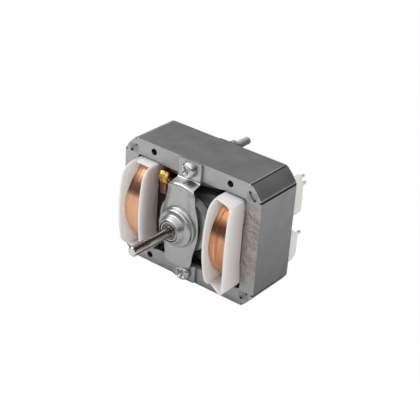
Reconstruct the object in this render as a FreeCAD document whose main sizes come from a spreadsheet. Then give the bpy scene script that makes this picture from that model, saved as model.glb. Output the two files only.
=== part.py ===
import FreeCAD, Part
import math
import os
import Sketcher

# Range hood fan motor: a two-coil, shaded-pole induction motor with an open frame.
# The origin is on the shaft axis, in the front face of the laminated stack.
# +X is to the right seen from the front, +Y points to the rear, +Z points up,
# and the drive end of the shaft points along -Y.

doc = FreeCAD.newDocument("range_hood_fan_motor")
sheet = doc.addObject("Spreadsheet::Sheet", "Sizes")


class Size:
    """A length with its number and the sheet expression that gives it."""

    def __init__(self, number, text):
        self.number = float(number)
        self.text = text

    def __add__(self, other):
        other = as_size(other)
        return Size(self.number + other.number, f"({self.text} + {other.text})")

    def __sub__(self, other):
        other = as_size(other)
        return Size(self.number - other.number, f"({self.text} - {other.text})")

    def __mul__(self, factor):
        factor = as_size(factor)
        return Size(self.number * factor.number, f"({self.text} * {factor.text})")

    def __truediv__(self, factor):
        factor = as_size(factor)
        return Size(self.number / factor.number, f"({self.text} / {factor.text})")

    def __neg__(self):
        return Size(-self.number, f"(0 - {self.text})")


def as_size(value):
    """Take a Size as it is, and a plain number as a fixed one."""
    if isinstance(value, Size):
        return value
    return Size(value, f"({value!r})")


def root(value):
    """The square root of a Size."""
    return Size(math.sqrt(value.number), f"sqrt({value.text})")


def dimension(name, number):
    """Write one driving dimension to the sheet, and return it as a Size."""
    row = dimension.count + 1
    dimension.count = row
    sheet.set(f"A{row}", name)
    sheet.set(f"B{row}", str(number))
    sheet.setAlias(f"B{row}", name)
    return Size(number, f"Sizes.{name}")


dimension.count = 0
nil = as_size(0.0)

# Rotor bore, and the bands round it that set the size of the laminated stack
bore_radius = dimension("bore_radius", 16.3)
shoe_band = dimension("shoe_band", 3.7)
coil_room = dimension("coil_room", 13.6)
leg_width = dimension("leg_width", 8.4)
tip_rise = dimension("tip_rise", 3.1)
tip_room = dimension("tip_room", 5.4)
band_height = dimension("band_height", 8.5)
flange_inner_face = bore_radius + shoe_band
window_width = (flange_inner_face + coil_room) * 2
stack_width = window_width + leg_width * 2
tip_height = (bore_radius + tip_rise) * 2
window_height = tip_height + tip_room * 2
stack_height = window_height + band_height * 2
stack_depth = dimension("stack_depth", 28.5)

# Laminated frame
corner_cut_width = dimension("corner_cut_width", 6.6)
corner_cut_height = dimension("corner_cut_height", 7.9)
corner_bulge_radius = dimension("corner_bulge_radius", 26.0)
corner_groove = dimension("corner_groove", 0.7)
window_step = dimension("window_step", 2.8)
window_mid_width = dimension("window_mid_width", 13.0)
window_mid_height = window_height - window_step * 2
window_corner_radius = dimension("window_corner_radius", 1.5)
mount_hole_inset = dimension("mount_hole_inset", 18.5)
mount_hole_edge = dimension("mount_hole_edge", 4.1)
mount_hole_radius = dimension("mount_hole_radius", 1.75)
mount_spacing_across = stack_width - mount_hole_inset * 2
mount_spacing_up = stack_height - mount_hole_edge * 2
cleat_inset = dimension("cleat_inset", 5.5)
cleat_edge = dimension("cleat_edge", 6.0)
cleat_spacing_across = stack_width - cleat_inset * 2
cleat_spacing_up = stack_height - cleat_edge * 2
cleat_length = dimension("cleat_length", 6.2)
cleat_width = dimension("cleat_width", 1.5)
cleat_depth = dimension("cleat_depth", 0.4)
cleat_pit_radius = dimension("cleat_pit_radius", 0.6)
cleat_pit_depth = dimension("cleat_pit_depth", 1.6)

# Poles
bridge_thickness = dimension("bridge_thickness", 1.0)
pole_height = dimension("pole_height", 22.0)
shoe_gap = dimension("shoe_gap", 0.3)
shoe_drop = dimension("shoe_drop", 0.8)
shoe_width = (flange_inner_face - shoe_gap) * 2
shoe_height = (bore_radius - shoe_drop) * 2
saddle_width = dimension("saddle_width", 8.0)
dovetail_depth = dimension("dovetail_depth", 3.0)
dovetail_neck = dimension("dovetail_neck", 12.0)
dovetail_flare = dimension("dovetail_flare", 1.5)
key_gap = dimension("key_gap", 0.02)

# Shading rings, each a bent copper bar round one pole tip
ring_width = dimension("ring_width", 3.6)
ring_bar = dimension("ring_bar", 2.0)
ring_gap = dimension("ring_gap", 0.1)
ring_inset = dimension("ring_inset", 2.7)
ring_web = dimension("ring_web", 0.05)
ring_slit = dimension("ring_slit", 0.6)
ring_margin = dimension("ring_margin", 0.4)
joint_width = dimension("joint_width", 6.2)
joint_height = dimension("joint_height", 7.2)
joint_corner = dimension("joint_corner", 1.8)
joint_length = dimension("joint_length", 2.8)
joint_drop = dimension("joint_drop", 1.8)
joint_seat = dimension("joint_seat", 0.5)
ring_start = bore_radius - ring_inset
tip_width = (ring_start + ring_width + ring_margin) * 2

# Bobbins and windings
slip_gap = dimension("slip_gap", 0.15)
tube_wall = dimension("tube_wall", 1.2)
tube_corner_radius = dimension("tube_corner_radius", 1.2)
flange_wall = dimension("flange_wall", 1.8)
flange_room = dimension("flange_room", 0.9)
flange_height = window_height - flange_room * 2
flange_overhang = dimension("flange_overhang", 14.0)
flange_edge = dimension("flange_edge", 0.5)
flange_face_edge = dimension("flange_face_edge", 0.8)
corner_rise = dimension("corner_rise", 6.3)
bow_height = flange_height / 2 - corner_rise
inner_bow = dimension("inner_bow", 2.0)
outer_bow = dimension("outer_bow", 1.4)
inner_lean = dimension("inner_lean", 0.5)
outer_lean = dimension("outer_lean", 1.3)
lean_room = dimension("lean_room", 0.6)
foot_rise = dimension("foot_rise", 4.3)
square_corner_radius = dimension("square_corner_radius", 0.8)
square_corner_lift = dimension("square_corner_lift", 2.2)
bobbin_outer_face = window_width / 2 - shoe_gap
winding_gap = dimension("winding_gap", 0.1)
winding_margin = dimension("winding_margin", 2.9)
winding_height = flange_height - winding_margin * 2
winding_bulge = dimension("winding_bulge", 11.0)
cover_wall = dimension("cover_wall", 1.2)
cover_overhang = dimension("cover_overhang", 7.0)
short_cover_overhang = dimension("short_cover_overhang", 4.4)
sloped_cover_overhang = dimension("sloped_cover_overhang", 12.4)
cover_bead = dimension("cover_bead", 0.5)

# Terminals behind the stack
lobe_overhang = dimension("lobe_overhang", 4.4)
lobe_reach = window_width / 2 + lobe_overhang
lobe_edge = dimension("lobe_edge", 0.5)
lobe_low = flange_height / 2 - lobe_edge
lobe_high = dimension("lobe_high", 8.4)
lobe_setback = dimension("lobe_setback", 0.8)
lobe_corner_radius = dimension("lobe_corner_radius", 5.0)
block_low = dimension("block_low", 3.4)
block_edge = dimension("block_edge", 0.7)
block_high = flange_height / 2 - block_edge
block_slope = dimension("block_slope", 4.6)
block_shelf = dimension("block_shelf", 2.4)
pin_side = dimension("pin_side", 1.2)
pin_reach = dimension("pin_reach", 3.8)
pin_gap = dimension("pin_gap", 0.02)
pin_seat = dimension("pin_seat", 4.0)
pin_inset = dimension("pin_inset", 1.6)
outer_pin_drop = dimension("outer_pin_drop", 5.0)

# Shaft
shaft_radius = dimension("shaft_radius", 2.5)
drive_end_length = dimension("drive_end_length", 26.5)
rear_end_length = dimension("rear_end_length", 1.5)
shaft_chamfer = dimension("shaft_chamfer", 0.5)
relief_width = dimension("relief_width", 0.8)
relief_depth = dimension("relief_depth", 0.2)
relief_lead = dimension("relief_lead", 0.05)

# Rotor
air_gap = dimension("air_gap", 0.4)
end_ring_inset = dimension("end_ring_inset", 0.8)
end_ring_band = dimension("end_ring_band", 5.9)
end_ring_outer = bore_radius - end_ring_inset
end_ring_inner = end_ring_outer - end_ring_band
end_ring_length = dimension("end_ring_length", 4.0)
end_ring_taper = dimension("end_ring_taper", 0.8)
bar_inset = dimension("bar_inset", 2.9)
bar_circle_radius = bore_radius - bar_inset
bar_radius = dimension("bar_radius", 1.15)
bar_skew = dimension("bar_skew", 3.6)
sleeve_wall = dimension("sleeve_wall", 1.7)
sleeve_radius = shaft_radius + sleeve_wall
thrust_band = dimension("thrust_band", 2.3)
thrust_radius = shaft_radius + thrust_band
thrust_wall = dimension("thrust_wall", 0.6)
end_play = dimension("end_play", 0.3)
press_gap = dimension("press_gap", 0.01)
bar_gap = dimension("bar_gap", 0.02)

# Through screws, washers and nuts
screw_edge = dimension("screw_edge", 4.7)
screw_spacing = stack_height - screw_edge * 2
screw_radius = dimension("screw_radius", 2.0)
screw_clearance = dimension("screw_clearance", 0.2)
screw_hole_radius = screw_radius + screw_clearance
head_radius = dimension("head_radius", 4.2)
head_height = dimension("head_height", 2.8)
head_edge = dimension("head_edge", 1.2)
head_flat_radius = dimension("head_flat_radius", 2.3)
head_bow_radius = dimension("head_bow_radius", 2.8)
recess_width = dimension("recess_width", 1.0)
recess_length = dimension("recess_length", 4.4)
recess_depth = dimension("recess_depth", 1.4)
stud_reach = dimension("stud_reach", 17.0)
stud_point = dimension("stud_point", 0.9)
washer_band = dimension("washer_band", 2.0)
washer_radius = screw_radius + washer_band
washer_wall = dimension("washer_wall", 0.9)
nut_flats = dimension("nut_flats", 7.0)
nut_height = dimension("nut_height", 3.2)
thread_gap = dimension("thread_gap", 0.03)

# Bushes, retainers and felts
bush_sphere_radius = dimension("bush_sphere_radius", 5.9)
bush_face_band = dimension("bush_face_band", 1.54)
bush_face_radius = shaft_radius + bush_face_band
bush_gap = dimension("bush_gap", 0.03)
seat_gap = dimension("seat_gap", 0.05)
retainer_wall = dimension("retainer_wall", 0.5)
retainer_rim = dimension("retainer_rim", 1.2)
retainer_dish = dimension("retainer_dish", 0.9)
retainer_slot = dimension("retainer_slot", 1.6)
felt_gap = dimension("felt_gap", 0.2)
felt_length = dimension("felt_length", 1.5)

# Stamped bearing brackets
sheet_wall = dimension("sheet_wall", 1.2)
bracket_margin = dimension("bracket_margin", 0.3)
bracket_height = stack_height - bracket_margin * 2
tab_margin = dimension("tab_margin", 2.7)
tab_width = (head_radius + tab_margin) * 2
tab_corner = dimension("tab_corner", 1.0)
foot_landing = dimension("foot_landing", 0.6)
foot_inner = window_mid_height / 2 + foot_landing
foot_slope = dimension("foot_slope", 2.2)
panel_end = foot_inner - foot_slope
crease_width = dimension("crease_width", 11.6)
crease_drop = dimension("crease_drop", 2.0)
panel_room = dimension("panel_room", 0.8)
panel_front = end_ring_length + panel_room + crease_drop + sheet_wall
nose_land = dimension("nose_land", 1.0)
nose_radius = bush_sphere_radius - nose_land
nose_step = dimension("nose_step", 2.5)
dome_flare = dimension("dome_flare", 2.1)
dome_radius = nose_radius + dome_flare
dome_step = dimension("dome_step", 2.0)
dome_inset = dimension("dome_inset", 0.5)
drum_land = dimension("drum_land", 2.95)
boss_top_radius = dome_radius + drum_land
boss_step = dimension("boss_step", 2.5)
drum_draft = dimension("drum_draft", 0.65)
drum_ledge = dimension("drum_ledge", 1.1)
boss_radius = boss_top_radius + drum_draft
belly_margin = dimension("belly_margin", 1.95)
belly_width = (boss_radius + belly_margin) * 2
neck_flare = dimension("neck_flare", 1.3)
neck_width = tab_width + neck_flare * 2
shoulder_flare = dimension("shoulder_flare", 2.35)
shoulder_width = neck_width + shoulder_flare * 2
shoulder_height = dimension("shoulder_height", 9.0)
waist_radius = dimension("waist_radius", 26.0)

bar_count = 18
finger_count = 8


def vector(u, v, w=0.0):
    return FreeCAD.Vector(u, v, w)


def new_body(label):
    """A body for one sub-part, labelled with the sub-part's name."""
    body = doc.addObject("PartDesign::Body", label)
    body.Label = label
    body.AllowCompound = True
    return body


def origin_item(body, role):
    """One of the body's own origin planes or axes."""
    for item in body.Origin.OriginFeatures:
        if item.Role == role:
            return item


def new_sketch(body, plane, lift=nil):
    """A sketch on an origin plane of the body, lifted along the plane's normal."""
    sketch = body.newObject("Sketcher::SketchObject", "Sketch")
    sketch.AttachmentSupport = [(origin_item(body, plane), "")]
    sketch.MapMode = "FlatFace"
    sketch.AttachmentOffset = FreeCAD.Placement(vector(0, 0, lift.number), FreeCAD.Rotation())
    sketch.setExpression("AttachmentOffset.Base.z", lift.text)
    return sketch


def pin_point(sketch, item, end, u, v):
    """Hold one end of a sketch item at (u, v), both bound to the sheet."""
    for kind, value in (("DistanceX", u), ("DistanceY", v)):
        index = sketch.addConstraint(Sketcher.Constraint(kind, -1, 1, item, end, value.number))
        sketch.setExpression(f"Constraints[{index}]", value.text)


def arc_through(start, finish, radius):
    """The arc between two points; a positive radius has its centre to the left of travel."""
    middle = (start + finish) * 0.5
    along = finish - start
    half = along.Length / 2
    reach = math.sqrt(max(radius ** 2 - half ** 2, 0.0))
    left = vector(-along.y, along.x).normalize()
    side = 1.0 if radius > 0 else -1.0
    centre = middle + left * (side * reach)
    top = centre - left * (side * abs(radius))
    return Part.Arc(start, top, finish)


def draw(sketch, path):
    """Draw a closed outline: (u, v) starts a line, (u, v, radius) starts an arc."""
    first = sketch.GeometryCount
    total = len(path)
    for index, corner in enumerate(path):
        following = path[(index + 1) % total]
        start = vector(corner[0].number, corner[1].number)
        finish = vector(following[0].number, following[1].number)
        if len(corner) == 3:
            sketch.addGeometry(arc_through(start, finish, corner[2].number), False)
        else:
            sketch.addGeometry(Part.LineSegment(start, finish), False)
    starts = []
    ends = []
    for index, corner in enumerate(path):
        # An arc that runs clockwise is stored the other way round.
        turned = len(corner) == 3 and corner[2].number < 0
        starts.append(2 if turned else 1)
        ends.append(1 if turned else 2)
    for index, corner in enumerate(path):
        item = first + index
        following = first + (index + 1) % total
        joint = Sketcher.Constraint("Coincident", item, ends[index],
                                    following, starts[(index + 1) % total])
        sketch.addConstraint(joint)
        pin_point(sketch, item, starts[index], corner[0], corner[1])
        if len(corner) == 3:
            radius = corner[2] if corner[2].number > 0 else -corner[2]
            number = sketch.addConstraint(Sketcher.Constraint("Radius", item, radius.number))
            sketch.setExpression(f"Constraints[{number}]", radius.text)


def draw_circle(sketch, u, v, radius):
    """Draw a circle whose centre and radius are bound to the sheet."""
    circle = Part.Circle(vector(u.number, v.number), vector(0, 0, 1), radius.number)
    item = sketch.addGeometry(circle, False)
    pin_point(sketch, item, 3, u, v)
    number = sketch.addConstraint(Sketcher.Constraint("Radius", item, radius.number))
    sketch.setExpression(f"Constraints[{number}]", radius.text)


def box_path(low_u, low_v, high_u, high_v):
    """A plain rectangle."""
    return [(low_u, low_v), (high_u, low_v), (high_u, high_v), (low_u, high_v)]


def round_box_path(low_u, low_v, high_u, high_v, radii):
    """A rectangle with a radius for each corner, from the low corner anticlockwise."""
    a, b, c, d = radii
    return [
        (low_u + a, low_v), (high_u - b, low_v, b),
        (high_u, low_v + b), (high_u, high_v - c, c),
        (high_u - c, high_v), (low_u + d, high_v, d),
        (low_u, high_v - d), (low_u, low_v + a, a),
    ]


def finish_feature(body, feature, profile):
    """Give a new feature its profile, and keep the body's tip on it."""
    feature.Profile = profile
    profile.Visibility = False
    body.Tip = feature
    return feature


def pad(body, profile, length, reverse=False):
    """Pad a sketch along its normal, or against it."""
    feature = body.newObject("PartDesign::Pad", "Pad")
    feature.Reversed = reverse
    feature.setExpression("Length", length.text)
    return finish_feature(body, feature, profile)


def pocket(body, profile, length, reverse=False):
    """Cut a sketch against its normal, or along it, and make sure that it cuts."""
    doc.recompute()
    before = body.Shape.Volume
    feature = body.newObject("PartDesign::Pocket", "Pocket")
    feature.Reversed = reverse
    feature.setExpression("Length", length.text)
    finish_feature(body, feature, profile)
    doc.recompute()
    if body.Shape.Volume > before - 1e-6:
        raise RuntimeError(f"{body.Label}: {feature.Name} cuts nothing")
    return feature


def revolve(body, profile, axis="H_Axis"):
    """Turn a sketch once round one of its own axes."""
    feature = body.newObject("PartDesign::Revolution", "Revolution")
    feature.ReferenceAxis = (profile, [axis])
    return finish_feature(body, feature, profile)


def groove(body, profile, axis="H_Axis"):
    """Turn a sketch once round one of its own axes and take it away."""
    doc.recompute()
    before = body.Shape.Volume
    feature = body.newObject("PartDesign::Groove", "Groove")
    feature.ReferenceAxis = (profile, [axis])
    finish_feature(body, feature, profile)
    doc.recompute()
    if body.Shape.Volume > before - 1e-6:
        raise RuntimeError(f"{body.Label}: {feature.Name} cuts nothing")
    return feature


def mirror(body, plane, originals):
    """Repeat features on the other side of an origin plane."""
    feature = body.newObject("PartDesign::Mirrored", "Mirrored")
    feature.Originals = originals
    feature.MirrorPlane = (origin_item(body, plane), [""])
    body.Tip = feature
    return feature


def ring_pattern(body, original, count, axis_name="Y_Axis"):
    """Repeat a feature round the motor's axis."""
    feature = body.newObject("PartDesign::PolarPattern", "PolarPattern")
    feature.Originals = [original]
    feature.Axis = (origin_item(body, axis_name), [""])
    feature.Angle = 360
    feature.Occurrences = count
    body.Tip = feature
    return feature


def chamfer_edges(body, size, wanted):
    """Chamfer the edges of the body that the test picks."""
    doc.recompute()
    base = body.Tip
    names = [f"Edge{number}" for number, edge in enumerate(base.Shape.Edges, 1) if wanted(edge)]
    feature = body.newObject("PartDesign::Chamfer", "Chamfer")
    feature.Base = (base, names)
    feature.setExpression("Size", size.text)
    body.Tip = feature
    return feature


def turn_to_rear(body):
    """Turn a front-end piece about the vertical axis, to sit behind the stack."""
    body.Placement = FreeCAD.Placement(vector(0, stack_depth.number, 0),
                                       FreeCAD.Rotation(vector(0, 0, 1), 180))
    body.setExpression("Placement.Base.y", stack_depth.text)
    return body


def turn_to_left(body):
    """Turn a right-hand piece about the shaft axis, to sit on the left pole."""
    body.Placement = FreeCAD.Placement(vector(0, 0, 0), FreeCAD.Rotation(vector(0, 1, 0), 180))
    return body


def pole_key_path(gap):
    """The right-hand dovetail that keys a pole into the yoke, from low to high."""
    wall = window_width / 2
    neck = dovetail_neck / 2 - gap
    flare = neck + dovetail_flare
    tip = wall + dovetail_depth - gap
    return wall, neck, flare, tip


def make_stator_yoke():
    """The outer laminated frame, with its window, dovetail seats, holes and cleats."""
    body = new_body("stator_yoke")
    half_width = stack_width / 2
    half_height = stack_height / 2
    corner_u = half_width - corner_cut_width
    corner_v = half_height - corner_cut_height
    outline = [
        (-corner_u, -half_height), (corner_u, -half_height, corner_bulge_radius),
        (half_width, -corner_v), (half_width, corner_v, corner_bulge_radius),
        (corner_u, half_height), (-corner_u, half_height, corner_bulge_radius),
        (-half_width, corner_v), (-half_width, -corner_v, corner_bulge_radius),
    ]
    sketch = new_sketch(body, "XZ_Plane")
    draw(sketch, outline)
    pad(body, sketch, stack_depth, reverse=True)

    wall, neck, flare, tip = pole_key_path(nil)
    step_u = window_mid_width / 2
    slope_u = flange_inner_face + flange_wall / 2
    low = window_mid_height / 2
    high = window_height / 2
    turn = window_corner_radius
    sketch = new_sketch(body, "XZ_Plane")
    draw(sketch, [
        (-step_u, -low), (step_u, -low), (slope_u, -high), (wall - turn, -high, turn),
        (wall, -high + turn), (wall, -neck), (tip, -flare), (tip, flare), (wall, neck),
        (wall, high - turn, turn), (wall - turn, high), (slope_u, high),
        (step_u, low), (-step_u, low), (-slope_u, high), (-wall + turn, high, turn),
        (-wall, high - turn), (-wall, neck), (-tip, flare), (-tip, -flare), (-wall, -neck),
        (-wall, -high + turn, turn), (-wall + turn, -high), (-slope_u, -high),
    ])
    pocket(body, sketch, stack_depth)

    sketch = new_sketch(body, "XZ_Plane")
    for side in (-1, 1):
        for level in (-1, 1):
            draw_circle(sketch, mount_spacing_across * side / 2,
                        mount_spacing_up * level / 2, mount_hole_radius)
        draw_circle(sketch, nil, screw_spacing * side / 2, screw_hole_radius)
    pocket(body, sketch, stack_depth)

    # A small V groove marks each end of each cut corner.
    groove = corner_groove
    sketch = new_sketch(body, "XZ_Plane")
    for side in (-1, 1):
        for level in (-1, 1):
            edge_u = corner_u * side
            edge_v = half_height * level
            draw(sketch, [(edge_u - groove * side / 2, edge_v),
                          (edge_u, edge_v - groove * level),
                          (edge_u + groove * side / 2, edge_v + groove * level)])
            edge_u = half_width * side
            edge_v = corner_v * level
            draw(sketch, [(edge_u, edge_v - groove * level / 2),
                          (edge_u - groove * side, edge_v),
                          (edge_u + groove * side, edge_v + groove * level / 2)])
    pocket(body, sketch, stack_depth)

    # The cleats are shallow stamped slots that lie along the cut corners.
    half_length = (cleat_length - cleat_width) / 2
    reach = cleat_width / 2
    run = root(corner_cut_width * corner_cut_width + corner_cut_height * corner_cut_height)
    along_u = corner_cut_width / run
    along_v = corner_cut_height / run
    sketch = new_sketch(body, "XZ_Plane")
    for side in (-1, 1):
        for level in (-1, 1):
            middle_u = cleat_spacing_across * side / 2
            middle_v = cleat_spacing_up * level / 2
            end_u = along_u * half_length * side
            end_v = along_v * half_length * level
            wide_u = along_v * reach * side
            wide_v = along_u * reach * level
            path = [
                (middle_u - end_u - wide_u, middle_v + end_v - wide_v),
                (middle_u + end_u - wide_u, middle_v - end_v - wide_v),
                (middle_u + end_u + wide_u, middle_v - end_v + wide_v),
                (middle_u - end_u + wide_u, middle_v + end_v + wide_v),
            ]
            draw(sketch, path)
    pocket(body, sketch, cleat_depth)
    pits = new_sketch(body, "XZ_Plane")
    for side in (-1, 1):
        for level in (-1, 1):
            middle_u = cleat_spacing_across * side / 2
            middle_v = cleat_spacing_up * level / 2
            for end in (-1, 1):
                draw_circle(pits, middle_u - along_u * half_length * side * end,
                            middle_v + along_v * half_length * level * end, cleat_pit_radius)
    pocket(body, pits, cleat_pit_depth)
    return body


def make_pole_core():
    """The inner laminated star: two poles, the bore, and slots for the shading rings."""
    body = new_body("pole_core")
    wall, neck, flare, tip = pole_key_path(key_gap)
    shoe = shoe_width / 2
    shoe_top = shoe_height / 2
    tip_top = tip_height / 2
    tip_out = tip_width / 2
    bridge = bore_radius + bridge_thickness
    saddle = saddle_width / 2
    pole = pole_height / 2
    side = wall - key_gap
    quarter = [
        (side, pole), (shoe, pole), (shoe, shoe_top), (tip_out, tip_top),
        (ring_start - ring_gap * 2, tip_top), (saddle, bridge),
    ]
    right = [(side, -neck), (tip, -flare), (tip, flare), (side, neck)]
    path = right + quarter
    path += [(-u, v) for u, v in reversed(quarter)]
    path += [(-u, -v) for u, v in right]
    path += [(-u, -v) for u, v in quarter]
    path += [(u, -v) for u, v in reversed(quarter)]
    sketch = new_sketch(body, "XZ_Plane")
    draw(sketch, path)
    draw_circle(sketch, nil, nil, bore_radius)
    pad(body, sketch, stack_depth, reverse=True)

    # One slot with a narrow mouth on the rotor bore takes each ring's inner leg.
    start = ring_start - ring_gap
    low = ring_slot_low()
    high = low + ring_bar + ring_gap * 2
    finish = ring_start + ring_width + ring_gap
    middle = (low + high) / 2
    mouth = root(bore_radius * bore_radius - high * high)
    slit = ring_slit / 2
    sketch = new_sketch(body, "XZ_Plane")
    for side in (-1, 1):
        draw(sketch, [
            (start * side, low * -side), (finish * side, low * -side),
            (finish * side, high * -side), (start * side, high * -side),
            (start * side, (middle + slit) * -side), (mouth * side, (middle + slit) * -side),
            (mouth * side, (middle - slit) * -side), (start * side, (middle - slit) * -side),
        ])
    pocket(body, sketch, stack_depth)
    return body


def ring_slot_low():
    """Where the slot for a ring's inner leg starts: its corner just clears the rotor bore."""
    reach = bore_radius + ring_web
    start = ring_start - ring_gap
    return root(reach * reach - start * start)


def make_shading_ring(label, joint_in_front):
    """A copper bar bent into a closed ring round a pole tip, lower right, with its brazed joint."""
    body = new_body(label)
    inner_low = ring_slot_low() + ring_gap
    inner_high = tip_height / 2 + ring_gap + ring_bar
    front = -(ring_gap + ring_bar)
    rear = stack_depth + ring_gap + ring_bar
    sketch = new_sketch(body, "YZ_Plane", ring_start)
    bend = ring_bar
    draw(sketch, round_box_path(front, -inner_high, rear, -inner_low, [bend] * 4))
    # The inner outline is the bar's thickness further in.
    draw(sketch, box_path(front + ring_bar, -(inner_high - ring_bar),
                          rear - ring_bar, -(inner_low + ring_bar)))
    pad(body, sketch, ring_width)

    # The bar's ends meet in a lump of braze with cut corners.
    reach_u = joint_width / 2
    reach_v = joint_height / 2
    cut = joint_corner
    middle_u = ring_start
    middle_v = -(inner_high - joint_drop)
    start = front + joint_seat if joint_in_front else rear - joint_seat
    lump = new_sketch(body, "XZ_Plane", -start)
    draw(lump, [
        (middle_u - reach_u + cut, middle_v - reach_v), (middle_u + reach_u - cut, middle_v - reach_v),
        (middle_u + reach_u, middle_v - reach_v + cut), (middle_u + reach_u, middle_v + reach_v - cut),
        (middle_u + reach_u - cut, middle_v + reach_v), (middle_u - reach_u + cut, middle_v + reach_v),
        (middle_u - reach_u, middle_v + reach_v - cut), (middle_u - reach_u, middle_v - reach_v + cut),
    ])
    pad(body, lump, joint_length, reverse=not joint_in_front)
    return body


def tube_limits(offset):
    """The tube round the pole, grown by an offset: its low and high y, and its half height."""
    low = -(slip_gap + offset)
    high = stack_depth + slip_gap + offset
    half = pole_height / 2 + slip_gap + offset
    return low, high, half


def lobe_rear():
    """How far behind the stack's front face the terminal lobes and the block end."""
    return stack_depth + flange_overhang - lobe_setback


def lobe_pin_places():
    """The pin of a right-hand lobe, near its top outer corner."""
    return [(lobe_reach - pin_inset, -(lobe_high + pin_inset))]


def block_pin_places():
    """The pins of the terminal block, one above the other along its sloped top."""
    return [
        (window_width / 2 + pin_inset, block_high - pin_inset),
        (lobe_reach - pin_inset, block_high - outer_pin_drop),
    ]


def square_path(u, v, reach):
    """A square about (u, v), from its centre to its sides."""
    return box_path(u - reach, v - reach, u + reach, v + reach)


def lean_radius(lean):
    """The radius at which a flange's front leaf bends by a lean over its overhang."""
    return (flange_overhang * flange_overhang + lean * lean) / (lean * 2)


def add_flange(body, low_x, lean, outline):
    """One flange: a plate across X whose front leaf leans, cut to an outline, with soft edges."""
    top = flange_height / 2
    front = -flange_overhang
    rear = stack_depth + flange_overhang
    high_x = low_x + flange_wall
    reach = lean if lean.number > 0 else -lean
    bend = lean_radius(reach)
    outward = bend if lean.number > 0 else -bend
    plate = new_sketch(body, "XY_Plane", -top)
    draw(plate, [
        (low_x + lean, front), (high_x + lean, front, outward), (high_x, nil),
        (high_x, rear), (low_x, rear), (low_x, nil, -outward),
    ])
    pad(body, plate, top * 2)

    beyond = flange_wall
    ring = new_sketch(body, "YZ_Plane", low_x - lean_room)
    draw(ring, box_path(front - beyond, -top - beyond, rear + beyond, top + beyond))
    draw(ring, outline)
    pocket(body, ring, flange_wall + lean_room * 2 + reach, reverse=True)

    low_y, high_y, half = tube_limits(tube_wall + slip_gap)

    def rim_of(face_x):
        """A test for the edges of the outline on the flange's face that starts at a place on X."""
        def wanted(edge):
            middle = edge.valueAt((edge.FirstParameter + edge.LastParameter) / 2)
            ahead = min(max(-middle.y, 0.0), flange_overhang.number)
            drift = bend.number - math.sqrt(bend.number ** 2 - ahead ** 2)
            face = face_x.number + math.copysign(drift, lean.number)
            seam = edge.BoundBox.YLength < 1e-6 and abs(middle.y) < 1e-6
            on_tube = (abs(middle.z) < half.number
                       and low_y.number < middle.y < high_y.number)
            return abs(middle.x - face) < 1e-3 and not seam and not on_tube
        return wanted

    towards_coil, away = (high_x, low_x) if lean.number < 0 else (low_x, high_x)
    chamfer_edges(body, flange_edge, rim_of(towards_coil))
    chamfer_edges(body, flange_face_edge, rim_of(away))


def soft_corner(sweep, level, height):
    """A corner between a flat edge and a bowed end: its two setbacks and its radius."""
    sine = height / sweep
    cosine = root(as_size(1.0) - sine * sine)
    turn = (level - height) / (as_size(1.0) - sine)
    on_bow = sweep - sweep * cosine
    return on_bow, on_bow + turn * cosine, turn


def flange_outline(bow, foot_height, low_edge, square_corner):
    """A flange's outline in (y, z): bowed ends, soft corners, and its own corner at the foot."""
    top = flange_height / 2
    front = -flange_overhang
    rear = stack_depth + flange_overhang
    sweep = (bow_height * bow_height + bow * bow) / (bow * 2)
    upper, upper_flat, upper_turn = soft_corner(sweep, top, bow_height)
    lower, lower_flat, lower_turn = soft_corner(sweep, low_edge, bow_height)
    path = [
        (rear - lower_flat, -low_edge, lower_turn), (rear - lower, -bow_height, sweep),
        (rear - upper, bow_height, upper_turn), (rear - upper_flat, top),
        (front + upper_flat, top, upper_turn), (front + upper, bow_height, sweep),
    ]
    if square_corner:
        edge = square_corner_radius
        return path + [(front, nil), (front, -low_edge + edge, edge), (front + edge, -low_edge)]
    foot, foot_flat, foot_turn = soft_corner(sweep, low_edge, foot_height)
    return path + [(front + foot, -foot_height, foot_turn), (front + foot_flat, -low_edge)]


def make_bobbin(label, square_corner):
    """A right-hand bobbin: tube, inner and outer flange, and a terminal lobe behind."""
    body = new_body(label)
    outer_face = bobbin_outer_face
    inner_face = flange_inner_face
    low_y, high_y, half = tube_limits(tube_wall)

    top = flange_height / 2
    foot = top - foot_rise if square_corner else bow_height
    low_edge = top - square_corner_lift if square_corner else top
    add_flange(body, inner_face, -inner_lean, flange_outline(inner_bow, foot, top, False))

    tube = new_sketch(body, "YZ_Plane", inner_face)
    draw(tube, round_box_path(low_y, -half, high_y, half, [tube_corner_radius] * 4))
    pad(body, tube, outer_face - inner_face)

    add_flange(body, outer_face - flange_wall, outer_lean,
               flange_outline(outer_bow, bow_height, low_edge, square_corner))

    # The terminal lobe stands outside the outer flange, behind the yoke's leg.
    lobe_start = outer_face - flange_wall / 2
    lobe = new_sketch(body, "YZ_Plane", lobe_start)
    corner = lobe_corner_radius
    edge = square_corner_radius
    draw(lobe, round_box_path(stack_depth + slip_gap * 2, -lobe_low, lobe_rear(), -lobe_high,
                              [edge, corner, edge, edge]))
    pad(body, lobe, lobe_reach - lobe_start)

    low_y, high_y, half = tube_limits(nil)
    hole = new_sketch(body, "YZ_Plane", inner_face)
    draw(hole, box_path(low_y, -half, high_y, half))
    pocket(body, hole, outer_face - inner_face, reverse=True)

    socket = new_sketch(body, "XZ_Plane", -lobe_rear())
    for u, v in lobe_pin_places():
        draw(socket, square_path(u, v, pin_side / 2))
    pocket(body, socket, pin_seat, reverse=True)
    return body


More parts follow.
